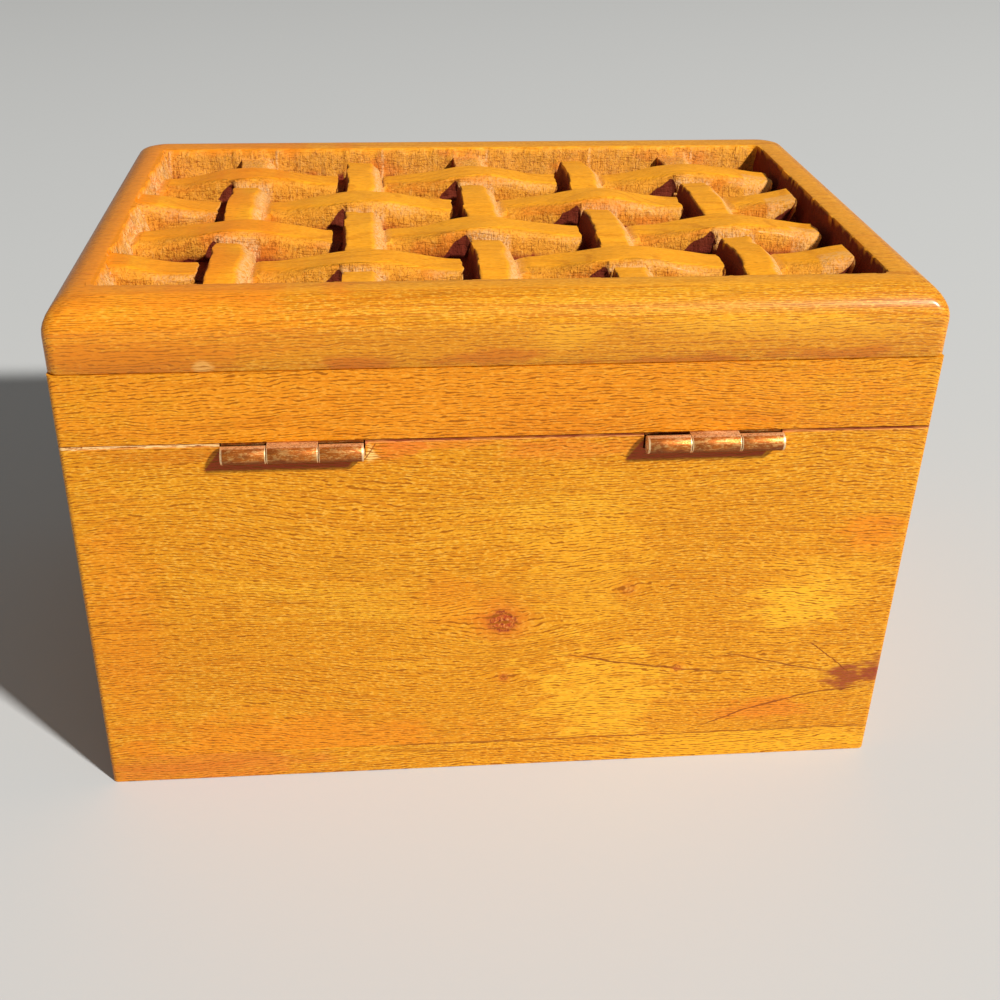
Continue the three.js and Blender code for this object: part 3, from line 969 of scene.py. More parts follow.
@dataclass(frozen=True)
class BasketWeave:
    """Carved weave: wefts run along X and arch over every second warp, warps run along Y.

    Each weft arch ends on its -X side in a blunt tip that is undercut above a deep hole. Its
    other end comes down beside the pale bevel of the next warp.
    """

    column_pitch: float = 35.7
    column_shift: float = 0.4
    row_pitch: float = 26.3
    row_shift: float = 1.6
    last_column: int = 2
    rows: tuple[int, int] = (-2, 1)
    floor_depth: float = 11.0
    weft_half: float = 6.0
    weft_length: float = 27.5
    weft_crown: float = 1.2
    weft_tip: float = 4.4
    tip_thickness: float = 0.7
    tip_slope: float = 0.55
    right_end: float = -98.0
    warp_half: float = 5.8
    warp_length: float = 16.5
    warp_crown: float = 1.6
    warp_shoulder: float = 2.8
    warp_end: float = 1.2
    near_reach: float = 3.4
    far_stub_drop: float = 1.6
    near_stub: float = 1.5
    dived_depth: float = 8.0
    hole_depth: float = 10.6
    shaded_pit_top: float = 3.0
    shaded_pit_reach: float = 13.0
    shaded_pit_change: float = 0.03
    side_wander: float = 0.5
    crown_humps: float = 0.3
    least_depth: float = 0.5
    tip_blend: float = 7.0

    @property
    def tip(self) -> float:
        """Distance from the middle of a column to the weft tips beside it."""
        return self.column_pitch - self.weft_length

    def column_x(self, column: int) -> float:
        """Middle of a column of warps."""
        return self.column_shift + column * self.column_pitch

    def row_y(self, row: int) -> float:
        """Middle of a row of wefts."""
        return self.row_shift + (row + 0.5) * self.row_pitch

    def crossing(self, x: float, y: float) -> tuple[int, int, float, float]:
        """Finds the nearest crossing.

        Args:
            x: Place along the wefts.
            y: Place across them.

        Returns:
            Its column and row, and the place's offsets from its middle.
        """
        column = round((x - self.column_shift) / self.column_pitch)
        row = math.floor((y - self.row_shift) / self.row_pitch)
        return column, row, x - self.column_x(column), y - self.row_y(row)

    def arch_depth(self, share: float) -> float:
        """Depth of a weft's crown, from its middle at share 0 to its tip at 1."""
        rise = (1 + math.cos(math.pi * min(1.0, abs(share)))) / 2
        return mix(self.weft_tip, self.weft_crown, rise)

    def row_shift_at(self, x: float, row: int) -> float:
        """How far a weft wanders out of its straight row."""
        return self.side_wander * ripple(x, 0.0, row * 2.9 + 71.0, 16.0)

    def side_wall(self, side: float) -> float:
        """From 0 on top of a weft to 1 at the foot of its side."""
        return ramp(abs(side), self.weft_half - 0.2, self.weft_half + 0.8)

    def tip_fold(self, side: float) -> float:
        """From 1 across a weft's tip to 0 beside it, where the grid isn't folded under."""
        return 1 - ease(abs(side), self.weft_half - 0.3, self.weft_half + 0.7)

    def crown(self, x: float, y: float, row: int, across: float) -> Cut:
        """The smooth top of a weft, with the slight humps that a knife leaves.

        Args:
            x: Place along the wefts.
            y: Place across them.
            row: Row of the weft.
            across: Offset along the weft from the middle of its arch.

        Returns:
            The point on the weft.
        """
        depth = self.arch_depth(across / self.weft_length)
        depth += self.crown_humps * ripple(x, y, row * 3.7 + 11.0, 11.0)
        return Cut(x, y + self.row_shift_at(x, row), max(self.least_depth, depth))

    def weft(self, x: float, y: float) -> Cut | None:
        """The weft's surface at a place.

        Args:
            x: Place along the wefts.
            y: Place across them.

        Returns:
            The point on the weft, or nothing outside of it.
        """
        column, row, across, side = self.crossing(x, y)
        first, last = self.rows
        if not first <= row <= last or abs(side) > self.weft_half + 1.0:
            return None
        beyond = self.right_end - x
        if beyond > 0:
            return self.right_tip(x, y, row, beyond, side)
        if (column + row) % 2 == 0:
            return self.weft_side(self.crown(x, y, row, across), side, row, across)
        inward = self.column_pitch - abs(across)
        if abs(across) < self.tip:
            return self.weft_end(x, y, column, row, across, side)
        cut = self.crown(x, y, row, inward)
        near_tip = 1 - ease(abs(across), self.tip, self.tip + self.tip_blend)
        shift = self.end_shift(y, column, row, across) * near_tip
        return self.weft_side(replace(cut, x=cut.x + shift), side, row,
                              -math.copysign(inward, across))

    def undercut(self, x: float, y: float, depth: float) -> float:
        """How far towards +X the wood recedes under the blunt end of a weft.

        Args:
            x: Place along the wefts.
            y: Place across them.
            depth: Depth of the carving there.

        Returns:
            The distance, which is 0 away from such an end.
        """
        column, row, across, side = self.crossing(x, y)
        inside = x - self.right_end
        near = 0.0
        if self.rows[0] <= row <= self.rows[1]:
            if inside < 9.0:
                near = (1 - ease(inside, 0.0, 8.0)) * (1 - ease(-inside, 0.5, 3.0))
            elif (column + row) % 2 and across > 0:
                near = ease(across, self.warp_half, self.tip)
                near *= 1 - ease(across, self.tip, self.tip + self.tip_blend)
        near *= ease(abs(side), self.weft_half - 0.3, self.weft_half + 0.4)
        near *= 1 - ease(abs(side), self.weft_half + 1.2, self.weft_half + 5.5)
        return near * self.tip_slope * max(0.0, depth - self.weft_tip - self.tip_thickness)

    def weft_side(self, cut: Cut, side: float, row: int, across: float) -> Cut:
        """Rounds a weft's edges over and takes its sides down to the floor.

        The side that faces +Y has a broad hand-cut chamfer, broadest towards -X, where it is
        painted pale, partly as chips and partly as painted light. The foot of each side is painted
        in shade.

        Args:
            cut: Point on the crown of the weft.
            side: Offset across the weft.
            row: Row of the weft.
            across: Offset along the weft from the middle of its arch.

        Returns:
            The point on the weft or on its side.
        """
        seed = row * 5.1 + (2.0 if side > 0 else 7.0)
        if side > 0:
            broad = ease(-across, -4.0, 9.0)
            low_end = ease(across, 6.0, self.weft_length)
            run = 0.9 + 1.5 * broad + 5.0 * low_end + 0.7 * ripple(cut.x, 0.0, seed, 6.5)
            drop = 0.8 + 1.1 * broad + 0.8 * low_end + 0.6 * ripple(cut.x, 3.0, seed, 5.0)
        else:
            broad, run, drop = 0.0, 0.9, 0.8
        run, drop = max(0.5, run), max(0.4, drop)
        chamfer = ramp(abs(side), self.weft_half - run, self.weft_half - 0.1)
        wall = self.side_wall(side)
        depth = cut.depth + drop * chamfer ** 1.15
        depth = mix(depth, self.floor_depth, wall)
        middle = 4 * wall * (1 - wall)
        scoop = 0.45 * middle * ripple(cut.x, depth * 0.8, seed + 1.0, 2.3)
        bow = 0.4 * wall * ripple(cut.x, depth, seed, 6.0)
        y = cut.y + math.copysign(1.0, side) * (scoop + bow)
        rough = max(cut.rough, 0.75 * ease(chamfer, 0.1, 0.5), ease(wall, 0.0, 0.12))
        # Pale chips on the chamfer, partly painted light where it faces the lamp
        pale = broad * ease(chamfer, 0.05, 0.5) * (1 - ease(wall, 0.0, 0.2))
        pale *= ease(ripple(cut.x, 8.0, seed, 14.0), -0.5, 0.4)
        foot = 1 - ease(abs(abs(across) - 0.3), self.warp_half - 0.5, self.warp_half + 1.0)
        foot *= ease(wall, 0.02, 0.15) * (1 - ease(wall, 0.5, 0.9))
        pale = max(0.38 * pale, 0.85 * foot, cut.pale)
        end = 1 - ease(cut.x - self.right_end, 8.6, 9.4)
        if side > 0:
            rough *= 1 - 0.2 * end
            pale = max(pale, 0.45 * end)
        # Painted shadow that the warp casts on this side, and painted shade at the foot of the side
        shaded_pit = self.shaded_pit(cut.x, depth, across, seed) if side > 0 else 0.0
        recess_shade = max(cut.recess_shade, 0.7 * ease(wall, 0.6, 1.0))
        inwards = 1.2 * ease(shaded_pit, 0.4, 0.7) * ease(wall, 0.02, 0.1)
        return Cut(cut.x, y - inwards, depth, rough, pale, recess_shade, shaded_pit)

    def shaded_pit(self, x: float, depth: float, across: float, seed: float) -> float:
        """How far a place lies inside the painted shadow that the warp casts where it ends at a
        weft's side; the side is also cut in a little there.

        Args:
            x: Place along the weft.
            depth: Depth of the point on its side.
            across: Offset along the weft from the middle of its arch.
            seed: Picks the ragged outline.

        Returns:
            Above 0.5 inside of that shadow, and below that outside of it.
        """
        reach = self.shaded_pit_reach - self.shaded_pit_change * (x - across)
        reach += 1.6 * ripple(seed, (x - across) / 9.0, 19.0, 1.3)
        span = ramp(across, self.warp_half, reach)
        top = mix(self.shaded_pit_top, self.dived_depth + 1.5, span ** 1.3)
        top += 0.5 * ripple(x, 0.0, seed + 3.0, 2.4)
        inside = ramp(across, self.warp_half - 2.5, self.warp_half + 0.5)
        return min(1.0, max(0.0, (0.5 + (depth - top) / 6.0) * inside))

    def end_shift(self, y: float, column: int, row: int, across: float) -> float:
        """How far the end of one weft arch stands off its regular place, along X."""
        seed = column * 5.0 + row * 2.3 + (4.0 if across > 0 else 9.0)
        return 0.9 * ripple(seed, 0.0, 13.0, 1.7) + 0.45 * ripple(y, 0.0, seed, 3.4)

    def weft_end(self, x: float, y: float, column: int, row: int, across: float,
                 side: float) -> Cut:
        """The wefts' tips and the holes beside a warp that lies over them.

        Args:
            x: Place along the wefts.
            y: Place across them.
            column: Column of the warp on top.
            row: Row of the wefts.
            across: Offset from the middle of that warp.
            side: Offset from the middle of the row.

        Returns:
            The point on the tip or in the hole.
        """
        fold = self.tip_fold(side)
        steps = self.hole_steps() if across > 0 else self.low_end_steps()
        step = between(steps, abs(across))
        near_tip = ease(abs(across), self.warp_half, self.tip)
        away = mix(abs(across), step.place, fold)
        x_new = self.column_x(column) + math.copysign(away, across)
        x_new += self.end_shift(y, column, row, across) * fold * near_tip
        return self.end_cut(x_new, y + self.row_shift_at(x, row), step, self.side_wall(side))

    def end_cut(self, x: float, y: float, step: Step, wall: float) -> Cut:
        """The point at an end of a weft.

        Args:
            x: Place along the wefts.
            y: Place across them.
            step: Where it is on the side view.
            wall: From 0 on top to 1 at the foot of the side.

        Returns:
            The point.
        """
        # The foot of each side of a tip is painted in shade
        return Cut(x, y, mix(step.depth, self.floor_depth, wall), max(step.rough, wall),
                   step.pale * (1 - wall), max(step.recess_shade, 0.6 * wall))

    def hole_steps(self) -> tuple[Step, ...]:
        """Side view of a hole.

        Returns:
            Corners from the foot of a warp, through the hole and up a blunt undercut tip.
        """
        nose, tip = self.weft_tip + self.tip_thickness, self.tip
        # The last number of each corner is its painted shade, full down in the hole
        return (
            Step(self.warp_half, self.warp_half, self.hole_depth - 0.4, 0.7, 0.0, 1.0),
            Step(6.3, 6.9, self.hole_depth, 0.7, 0.0, 1.0),
            Step(6.7, 9.0, self.hole_depth, 0.7, 0.0, 1.0),
            Step(7.1, tip + 2.8, self.hole_depth - 0.4, 0.7, 0.0, 1.0),
            Step(7.5, tip + 1.6, nose + 2.9, 0.8, 0.0, 1.0),
            Step(7.9, tip + 0.1, nose, 0.8, 0.4, 0.3),
            Step(tip, tip, self.weft_tip + 0.1, 0.4, 0.5, 0.0),
        )

    def low_end_steps(self) -> tuple[Step, ...]:
        """Side view of a low end.

        Returns:
            Corners from a warp's pale bevel, across a shallow groove and up the low end.
        """
        # The fifth number is the pale tone, partly painted light on the warp's bevel that faces the
        # lamp
        return (
            Step(self.warp_half, self.warp_half, 5.2, 0.8, 0.7, 0.0),
            Step(6.3, 6.3, 5.3, 0.8, 0.6, 0.0),
            Step(6.9, 6.9, 4.9, 0.3, 0.2, 0.0),
            Step(self.tip, self.tip, self.weft_tip + 0.1, 0.0, 0.0, 0.0),
        )

    def right_tip(self, x: float, y: float, row: int, beyond: float, side: float) -> Cut | None:
        """The blunt undercut end that each weft has before the wall of the recess at -X.

        Args:
            x: Place along the wefts.
            y: Place across them.
            row: Row of the weft.
            beyond: How far the place lies past the regular end.
            side: Offset across the weft.

        Returns:
            The point, or nothing past the end.
        """
        column, _, across, _ = self.crossing(x, y)
        share = across if (column + row) % 2 == 0 else self.column_pitch - abs(across)
        top = self.arch_depth(share / self.weft_length)
        # The end face towards -X faces the lamp and is painted pale as lit; the hole under it is
        # painted in shade
        steps = (
            Step(0.0, 0.0, top, 0.3, 0.5, 0.0),
            Step(0.4, -0.1, top + self.tip_thickness, 0.9, 0.6, 0.1),
            Step(0.8, -1.9, self.dived_depth, 0.8, 0.0, 0.8),
            Step(1.3, -3.0, self.hole_depth, 0.7, 0.0, 1.0),
            Step(2.0, 1.2, self.floor_depth, 0.7, 0.0, 1.0),
        )
        if beyond > steps[-1].line:
            return None
        step = between(steps, beyond)
        fold = self.tip_fold(side)
        ragged = 0.5 * ripple(y, 0.0, row + 20.0, 4.0) + 0.7 * ripple(row * 3.0, 0.0, 5.0, 1.7)
        place = self.right_end - mix(beyond, step.place, fold) + ragged * fold
        return self.end_cut(place, y, step, self.side_wall(side))

    def warp(self, x: float, y: float) -> Cut | None:
        """The warp's surface at a place.

        Args:
            x: Place across the warps.
            y: Place along them.

        Returns:
            The point on the warp, or nothing outside of it.
        """
        column, row, across, side = self.crossing(x, y)
        if abs(column) > self.last_column or abs(across) > self.warp_half + 0.7:
            return None
        reach = abs(side)
        if (column + row) % 2 == 0:
            reach = self.row_pitch - abs(side)
            row += 1 if side > 0 else -1
        seed = column * 4.3 + row * 1.7 + 30.0
        crown_end = self.warp_length - self.warp_end
        crown = min(1.0, reach / crown_end) ** 2
        depth = mix(self.warp_crown, self.warp_shoulder, crown) + 0.15 * ripple(x, y, seed, 9.0)
        depth += 0.07 * across * ripple(seed, 0.0, 17.0, 1.9)
        rough = pale = 0.0
        if row > self.rows[1]:
            depth = self.near_stub + 0.2 * ripple(x, y, seed, 7.0)
        if row < self.rows[0]:
            depth += self.far_stub_drop
            rough, pale = 0.9, 0.25
        if y > self.row_y(row):
            reach -= self.near_reach
        ragged_end = 0.5 * ripple(x, 0.0, seed + 3.0, 3.0)
        slope = ramp(reach + ragged_end, crown_end, self.warp_length)
        depth = mix(depth, self.dived_depth, slope)
        rough = max(rough, ease(slope, 0.05, 0.4))
        pale = max(pale, 0.6 * ease(slope, 0.0, 0.3))
        return self.warp_side(Cut(x, y, depth, rough, pale), across, column, row)

    def warp_side(self, cut: Cut, across: float, column: int, row: int) -> Cut:
        """Takes a warp's sides down: a bevel towards -X, painted pale partly as chips and partly as
        painted light, and a scalloped edge towards +X in painted shade.

        Args:
            cut: Point on the crown of the warp.
            across: Offset across the warp.
            column: Column of the warp.
            row: Row that the point belongs to.

        Returns:
            The point on the warp or on its side.
        """
        seed = column * 6.1 + row * 2.2 + 50.0
        away = abs(across)
        # Painted light and shade: the side towards -X faces the lamp and is painted pale, the side
        # towards +X is painted in shade
        if across < 0:
            width = 3.3 + 0.9 * ripple(cut.y, 0.0, seed, 6.0)
            drop, pale, recess_shade, power = 2.5, 0.8, 0.0, 1.0
        else:
            width = 0.9 + 0.8 * ripple(cut.y, 5.0, seed, 7.0) + 0.2 * ripple(cut.y, 9.0, seed, 2.6)
            drop, pale, recess_shade, power = 2.0, 0.0, 0.92, 1.3
        width = max(0.35, width)
        bevel = ramp(away, self.warp_half - width, self.warp_half - 0.1)
        wall = ramp(away, self.warp_half - 0.3, self.warp_half + 0.6)
        depth = mix(cut.depth + drop * bevel ** power, self.floor_depth, wall)
        x = cut.x + math.copysign(0.6, across) * wall * ripple(cut.y, 0.6 * depth, seed + 1.0, 5.5)
        x += 0.35 * ripple(cut.y, 0.0, column * 3.1 + 7.0, 12.0)
        edge = ease(bevel, 0.05, 0.5)
        rough = max(cut.rough, 0.6 * edge, ease(wall, 0.05, 0.4))
        pale_chips_and_light = max(cut.pale, pale * edge * (1 - 0.4 * wall))
        dark = recess_shade * max(0.7 * edge, ease(wall, 0.0, 0.3))
        return Cut(x, cut.y, depth, rough, pale_chips_and_light, max(cut.recess_shade, dark))

    def ground(self, x: float, y: float) -> Cut:
        """The floor between the strips, left rough by the gouge and painted in shade."""
        depth = self.floor_depth - 0.4 + 0.4 * ripple(x, y, 90.0, 2.8)
        return Cut(x, y, depth, 1.0, 0.0, 0.85)

    def cut(self, x: float, y: float) -> Cut:
        """The carved surface at a place.

        Args:
            x: Place along the wefts.
            y: Place across them.

        Returns:
            The highest point of the floor, the wefts and the warps.
        """
        found = [self.ground(x, y)]
        found += [cut for cut in (self.weft(x, y), self.warp(x, y)) if cut]
        highest = min(found, key=lambda cut: cut.depth)
        return replace(highest, x=highest.x + self.undercut(x, y, highest.depth))


@dataclass(frozen=True)
class Facets:
    """Knife facets along one wall of the recess, with their pale tone, partly painted light, and
    their painted shade.
    """

    length: float
    ragged: float
    spread: float
    bend: float
    chip: float
    pale: float
    recess_shade: float


@dataclass
class CarvedLidTop:
    """The lid's slab with its carved recess and rounded edge, as one fine mesh."""

    finish: WoodFinish
    inside: WoodFinish
    weave: BasketWeave = field(default_factory=BasketWeave)
    border_left: float = 12.9
    border_right: float = 10.5
    border_front: float = 15.0
    border_back: float = 13.0
    recess_corner: float = 2.5
    recess_draft: float = 1.2
    # Walls of the recess at -X, +X, -Y and +Y; the -X wall and, a little, the +Y wall are painted
    # in shade, and the +X wall, which faces the lamp, is painted pale as painted light
    facets: tuple[Facets, ...] = (
        Facets(5.0, 0.4, 0.6, 0.9, 0.3, 0.0, 0.9),
        Facets(9.0, 1.5, 3.6, 0.72, 0.7, 0.8, 0.0),
        Facets(4.0, 0.4, 0.8, 0.9, 0.35, 0.12, 0.0),
        Facets(4.0, 0.4, 0.5, 0.9, 0.3, 0.1, 0.3),
    )
    roundover: float = 8.6
    corner_radius: float = 3.2
    lower_ease: float = 0.6
    roundover_steps: int = 9
    open_step: float = 0.95
    close_step: float = 0.38
    wall_step: float = 0.4
    end_walls: tuple[float, float] = (5.0, 6.4)
    long_walls: tuple[float, float] = (2.2, 2.2)
    column_close: tuple[tuple[float, float], ...] = ((2.4, 8.6),)
    row_close: tuple[tuple[float, float], ...] = ((3.4, 6.9), (8.4, 10.4))
    lip_depth: float = 0.15
    lip_rings: tuple[tuple[float, float], ...] = ((0.35, 0.05), (1.1, 0.0))
    # Share of the painted lighter tone on the border top
    border_knife_and_light: float = 0.6
    border_drop: float = 0.3
    side_height: float = 4.0
    sharp_angle: float = 38.0
    edge_varnish: float = 0.36
    edge_specular: float = 0.14
    node: str = "carved_lid_top"

    def build(self) -> bpy.types.Object:
        """Builds the slab.

        Returns:
            The piece.
        """
        self.low, self.high = millimetre_box(self.node)
        self.rim = (self.low.x + self.border_left, self.high.x - self.border_right,
                    self.low.y + self.border_front, self.high.y - self.border_back)
        bm = bmesh.new()
        # Layers of how the wood is cut, and of its painted light and shade
        layers = [bm.verts.layers.float.new(name)
                  for name in ("rough_cut", "pale_chips_and_light", "recess_shade", "shaded_pit", "knife_cut_and_light")]
        boundary = self.carve_grid(bm, layers)
        bottom = self.wrap_outside(bm, boundary, layers)
        bmesh.ops.recalc_face_normals(bm, faces=bm.faces)
        if bottom.normal.z > 0:
            bmesh.ops.reverse_faces(bm, faces=bm.faces)
        bottom.material_index = 1
        sharpen(bm, self.sharp_angle)
        outside = replace(self.finish, name="slab_edge_wood", varnish=self.edge_varnish,
                          specular=self.edge_specular)
        return make_piece(bm, "carved_slab", [self.node],
                          [self.finish.material(), self.inside.material(), outside.material()])

    def grid_lines(self, start: float, end: float, walls: tuple[float, float],
                   middles: Sequence[float], close: Sequence[tuple[float, float]]) -> list[float]:
        """Places of the grid lines along one axis, close together where the carving is steep.

        Args:
            start: Rim at the low end.
            end: Rim at the high end.
            walls: Widths at the two ends where the lines are close.
            middles: Middles of the strips.
            close: Distances from a middle between which the lines are close.

        Returns:
            The places in rising order.
        """
        lines, at = [start], start
        while at < end:
            near = [abs(at - middle) for middle in middles]
            steep = any(low - 0.1 <= away <= high for away in near for low, high in close)
            step = self.close_step if steep else self.open_step
            if at - start < walls[0] or end - at < walls[1] + self.open_step:
                step = self.wall_step
            at += step
            lines.append(at)
        lines[-1] = end
        return lines

    def carve_grid(self, bm: bmesh.types.BMesh, layers: Sequence) -> list[bmesh.types.BMEdge]:
        """Makes the recess as a grid whose vertices are pressed down to the carving.

        Args:
            bm: Mesh to build in.
            layers: Layers that say how the wood is cut at a vertex.

        Returns:
            The edges along the rim.
        """
        x0, x1, y0, y1 = self.rim
        weave = self.weave
        columns = range(-weave.last_column, weave.last_column + 1)
        rows = range(weave.rows[0], weave.rows[1] + 1)
        xs = self.grid_lines(x0, x1, self.end_walls, [weave.column_x(k) for k in columns],
                             self.column_close)
        ys = self.grid_lines(y0, y1, self.long_walls, [weave.row_y(j) for j in rows],
                             self.row_close)
        made = bmesh.ops.create_grid(bm, x_segments=len(xs) - 1, y_segments=len(ys) - 1, size=1.0)
        for vert in made["verts"]:
            column = round((vert.co.x + 1) / 2 * (len(xs) - 1))
            row = round((vert.co.y + 1) / 2 * (len(ys) - 1))
            cut = self.recess_cut(xs[column], ys[row])
            x, y = self.round_corner(cut.x, cut.y, self.rim, self.recess_corner)
            vert.co = (x, y, self.high.z - cut.depth)
            # The last value gives the whole recess the knife-cut look and its painted lighter tone
            for layer, value in zip(layers, (cut.rough, cut.pale, cut.recess_shade, cut.shaded_pit, 1.0)):
                vert[layer] = value
        log.info("carved grid of %d by %d lines", len(xs), len(ys))
        return [edge for edge in bm.edges if edge.is_boundary]

    def recess_cut(self, x: float, y: float) -> Cut:
        """The weave, or the leaning wall of the recess where that stands higher.

        Args:
            x: Place on the grid along X.
            y: Place on the grid along Y.

        Returns:
            The point of the carving.
        """
        x0, x1, y0, y1 = self.rim
        gaps = (x - x0, x1 - x, y - y0, y1 - y)
        inset = min(gaps)
        nearest = gaps.index(inset)
        along = y if nearest < 2 else x
        facet = self.facets[nearest]
        scallop = 0.5 + 0.5 * ripple(along, nearest, 60.0, facet.length)
        ledge = facet.ragged * (0.5 + 0.6 * ripple(along, nearest, 66.0, facet.length * 0.7))
        ledge = max(0.0, ledge)
        spread = ledge + self.recess_draft + facet.spread * scallop
        wall = ramp(inset, ledge, spread)
        depth = self.lip_depth + (self.weave.floor_depth - self.lip_depth) * wall ** facet.bend
        inner = self.weave.cut(x, y)
        if inner.depth < depth or wall >= 1:
            return inner
        chips = facet.chip * ripple(along, depth, 61.0 + nearest, 2.2) * ease(wall, 0.0, 0.1)
        push_x = (chips, -chips, 0.0, 0.0)[nearest]
        push_y = (0.0, 0.0, chips, -chips)[nearest]
        # Pale chips on the walls, partly painted light on the +X wall, which faces the lamp; the
        # walls' painted shade comes from their facets
        pale = facet.pale * (0.45 + 0.55 * ease(ripple(along, depth, 64.0, 4.0), -0.4, 0.3))
        if nearest == 2:
            _, _, across, _ = self.weave.crossing(x, y)
            stop = abs(across + self.weave.warp_half + 0.6 + 0.2 * ripple(depth, 0.0, 67.0, 3.0))
            pale = max(pale, 0.75 * (1 - ease(stop, 0.2, 0.7)))
        cut = ease(wall, 0.0, 0.08)
        return Cut(x + push_x, y + push_y, depth, cut, pale * cut, facet.recess_shade * cut)

    @staticmethod
    def round_corner(x: float, y: float, box: tuple[float, float, float, float],
                     radius: float) -> tuple[float, float]:
        """Moves a point of a rectangle so that the rectangle's corners become round.

        Args:
            x: Place of the point along X.
            y: Place of the point along Y.
            box: Both ends of the rectangle along X, and then along Y.
            radius: Radius of its corners.

        Returns:
            The point's new place.
        """
        x0, x1, y0, y1 = box
        centre_x = min(max(x, x0 + radius), x1 - radius)
        centre_y = min(max(y, y0 + radius), y1 - radius)
        away_x, away_y = x - centre_x, y - centre_y
        length = math.hypot(away_x, away_y)
        if length < 1e-9:
            return x, y
        scale = max(abs(away_x), abs(away_y)) / length
        return centre_x + away_x * scale, centre_y + away_y * scale

    def outer_rings(self) -> list[tuple[float, float, float]]:
        """Rings from the border to the slab's lower edge.

        Returns:
            The inset from the slab's sides, the height and the corner radius of each.
        """
        rings = []
        for step in range(self.roundover_steps + 1):
            angle = math.pi / 2 * (1 - step / self.roundover_steps)
            inset = self.roundover * (1 - math.cos(angle))
            height = self.high.z - self.roundover * (1 - math.sin(angle))
            rings.append((inset, height, self.corner_radius + inset / 2))
        corner = self.lower_ease
        for inset, above in ((0.0, self.side_height), (0.0, corner),
                             (corner * 0.4, corner * 0.3), (corner, 0.0)):
            rings.append((inset, self.low.z + above, self.corner_radius))
        return rings

    def wrap_outside(self, bm: bmesh.types.BMesh, boundary: list[bmesh.types.BMEdge],
                     layers: Sequence) -> bmesh.types.BMFace:
        """Extrudes the rim outwards over the border and down the slab's rounded edge.

        Args:
            bm: Mesh to build in.
            boundary: Edges of the rim.
            layers: Layers that say how the wood is cut at a vertex.

        Returns:
            The face under the slab.
        """
        x0, x1, y0, y1 = self.rim
        middle = Vector(((x0 + x1) / 2, (y0 + y1) / 2))
        half = Vector(((x1 - x0) / 2, (y1 - y0) / 2))
        low, high = self.low, self.high
        targets = [((x0 - grow, x1 + grow, y0 - grow, y1 + grow), high.z - drop,
                    self.recess_corner) for grow, drop in self.lip_rings]
        targets += [((low.x + inset, high.x - inset, low.y + inset, high.y - inset), height,
                     radius) for inset, height, radius in self.outer_rings()]
        shares = {}
        for edge in boundary:
            for vert in edge.verts:
                share = Vector(((vert.co.x - middle.x) / half.x, (vert.co.y - middle.y) / half.y))
                shares[vert] = share / max(abs(share.x), abs(share.y))
        edges = boundary
        for box, height, radius in targets:
            made = bmesh.ops.extrude_edge_only(bm, edges=edges)["geom"]
            edges = [g for g in made if isinstance(g, bmesh.types.BMEdge)]
            for face in {face for edge in edges for face in edge.link_faces}:
                face.material_index = 2
            moved = {}
            for vert in {vert for edge in edges for vert in edge.verts}:
                others = [link.other_vert(vert) for link in vert.link_edges]
                moved[vert] = next(shares[other] for other in others if other in shares)
            for vert, share in moved.items():
                flat_x = mix(box[0], box[1], (share.x + 1) / 2)
                flat_y = mix(box[2], box[3], (share.y + 1) / 2)
                vert.co = (*self.round_corner(flat_x, flat_y, box, radius), height)
                for layer in layers:
                    vert[layer] = 0.0
                # The border top gets part of the painted lighter tone
                if height > high.z - self.border_drop:
                    vert[layers[-1]] = self.border_knife_and_light
            shares = moved
        return bmesh.ops.holes_fill(bm, edges=edges, sides=0)["faces"][0]


@dataclass
class WoodFrame:
    """The boards of the box and the rails of the lid, with eased edges."""

    finishes: dict[str, WoodFinish]
    inside: WoodFinish
    edge_ease: float = 0.35
    edge_angle: float = 60.0
    sharp_angle: float = 22.0
    shortest_edge: float = 0.2
    floor_height: float = 20.0

    def build(self) -> None:
        """Builds each board from a copy of its CAD solid."""
        inside = self.inside.material()
        for node, finish in self.finishes.items():
            bm = node_copy(node)
            edges = turning_edges(bm, self.edge_angle)
            bevel_edges(bm, filter(self.is_level, edges), self.edge_ease)
            for face in bm.faces:
                face.material_index = int(self.faces_inwards(face))
            sharpen(bm, self.sharp_angle)
            foot = node == "bottom_board"
            make_piece(bm, "foot_board" if foot else node + "_board", [node],
                       [finish.material(), inside])

    def is_level(self, edge: bmesh.types.BMEdge) -> bool:
        """True for a long edge that runs level."""
        first, second = (vert.co for vert in edge.verts)
        return abs(first.z - second.z) < TOUCH and edge.calc_length() > self.shortest_edge

    def faces_inwards(self, face: bmesh.types.BMFace) -> bool:
        """Tells which finish a face gets.

        Args:
            face: Face of a board.

        Returns:
            True if it looks at the middle of the box or up from its floor.
        """
        middle, normal = face.calc_center_median(), face.normal
        if abs(normal.z) > LEVEL_SHARE:
            return normal.z > 0 and middle.z < self.floor_height
        return normal.x * middle.x + normal.y * middle.y < -1.0


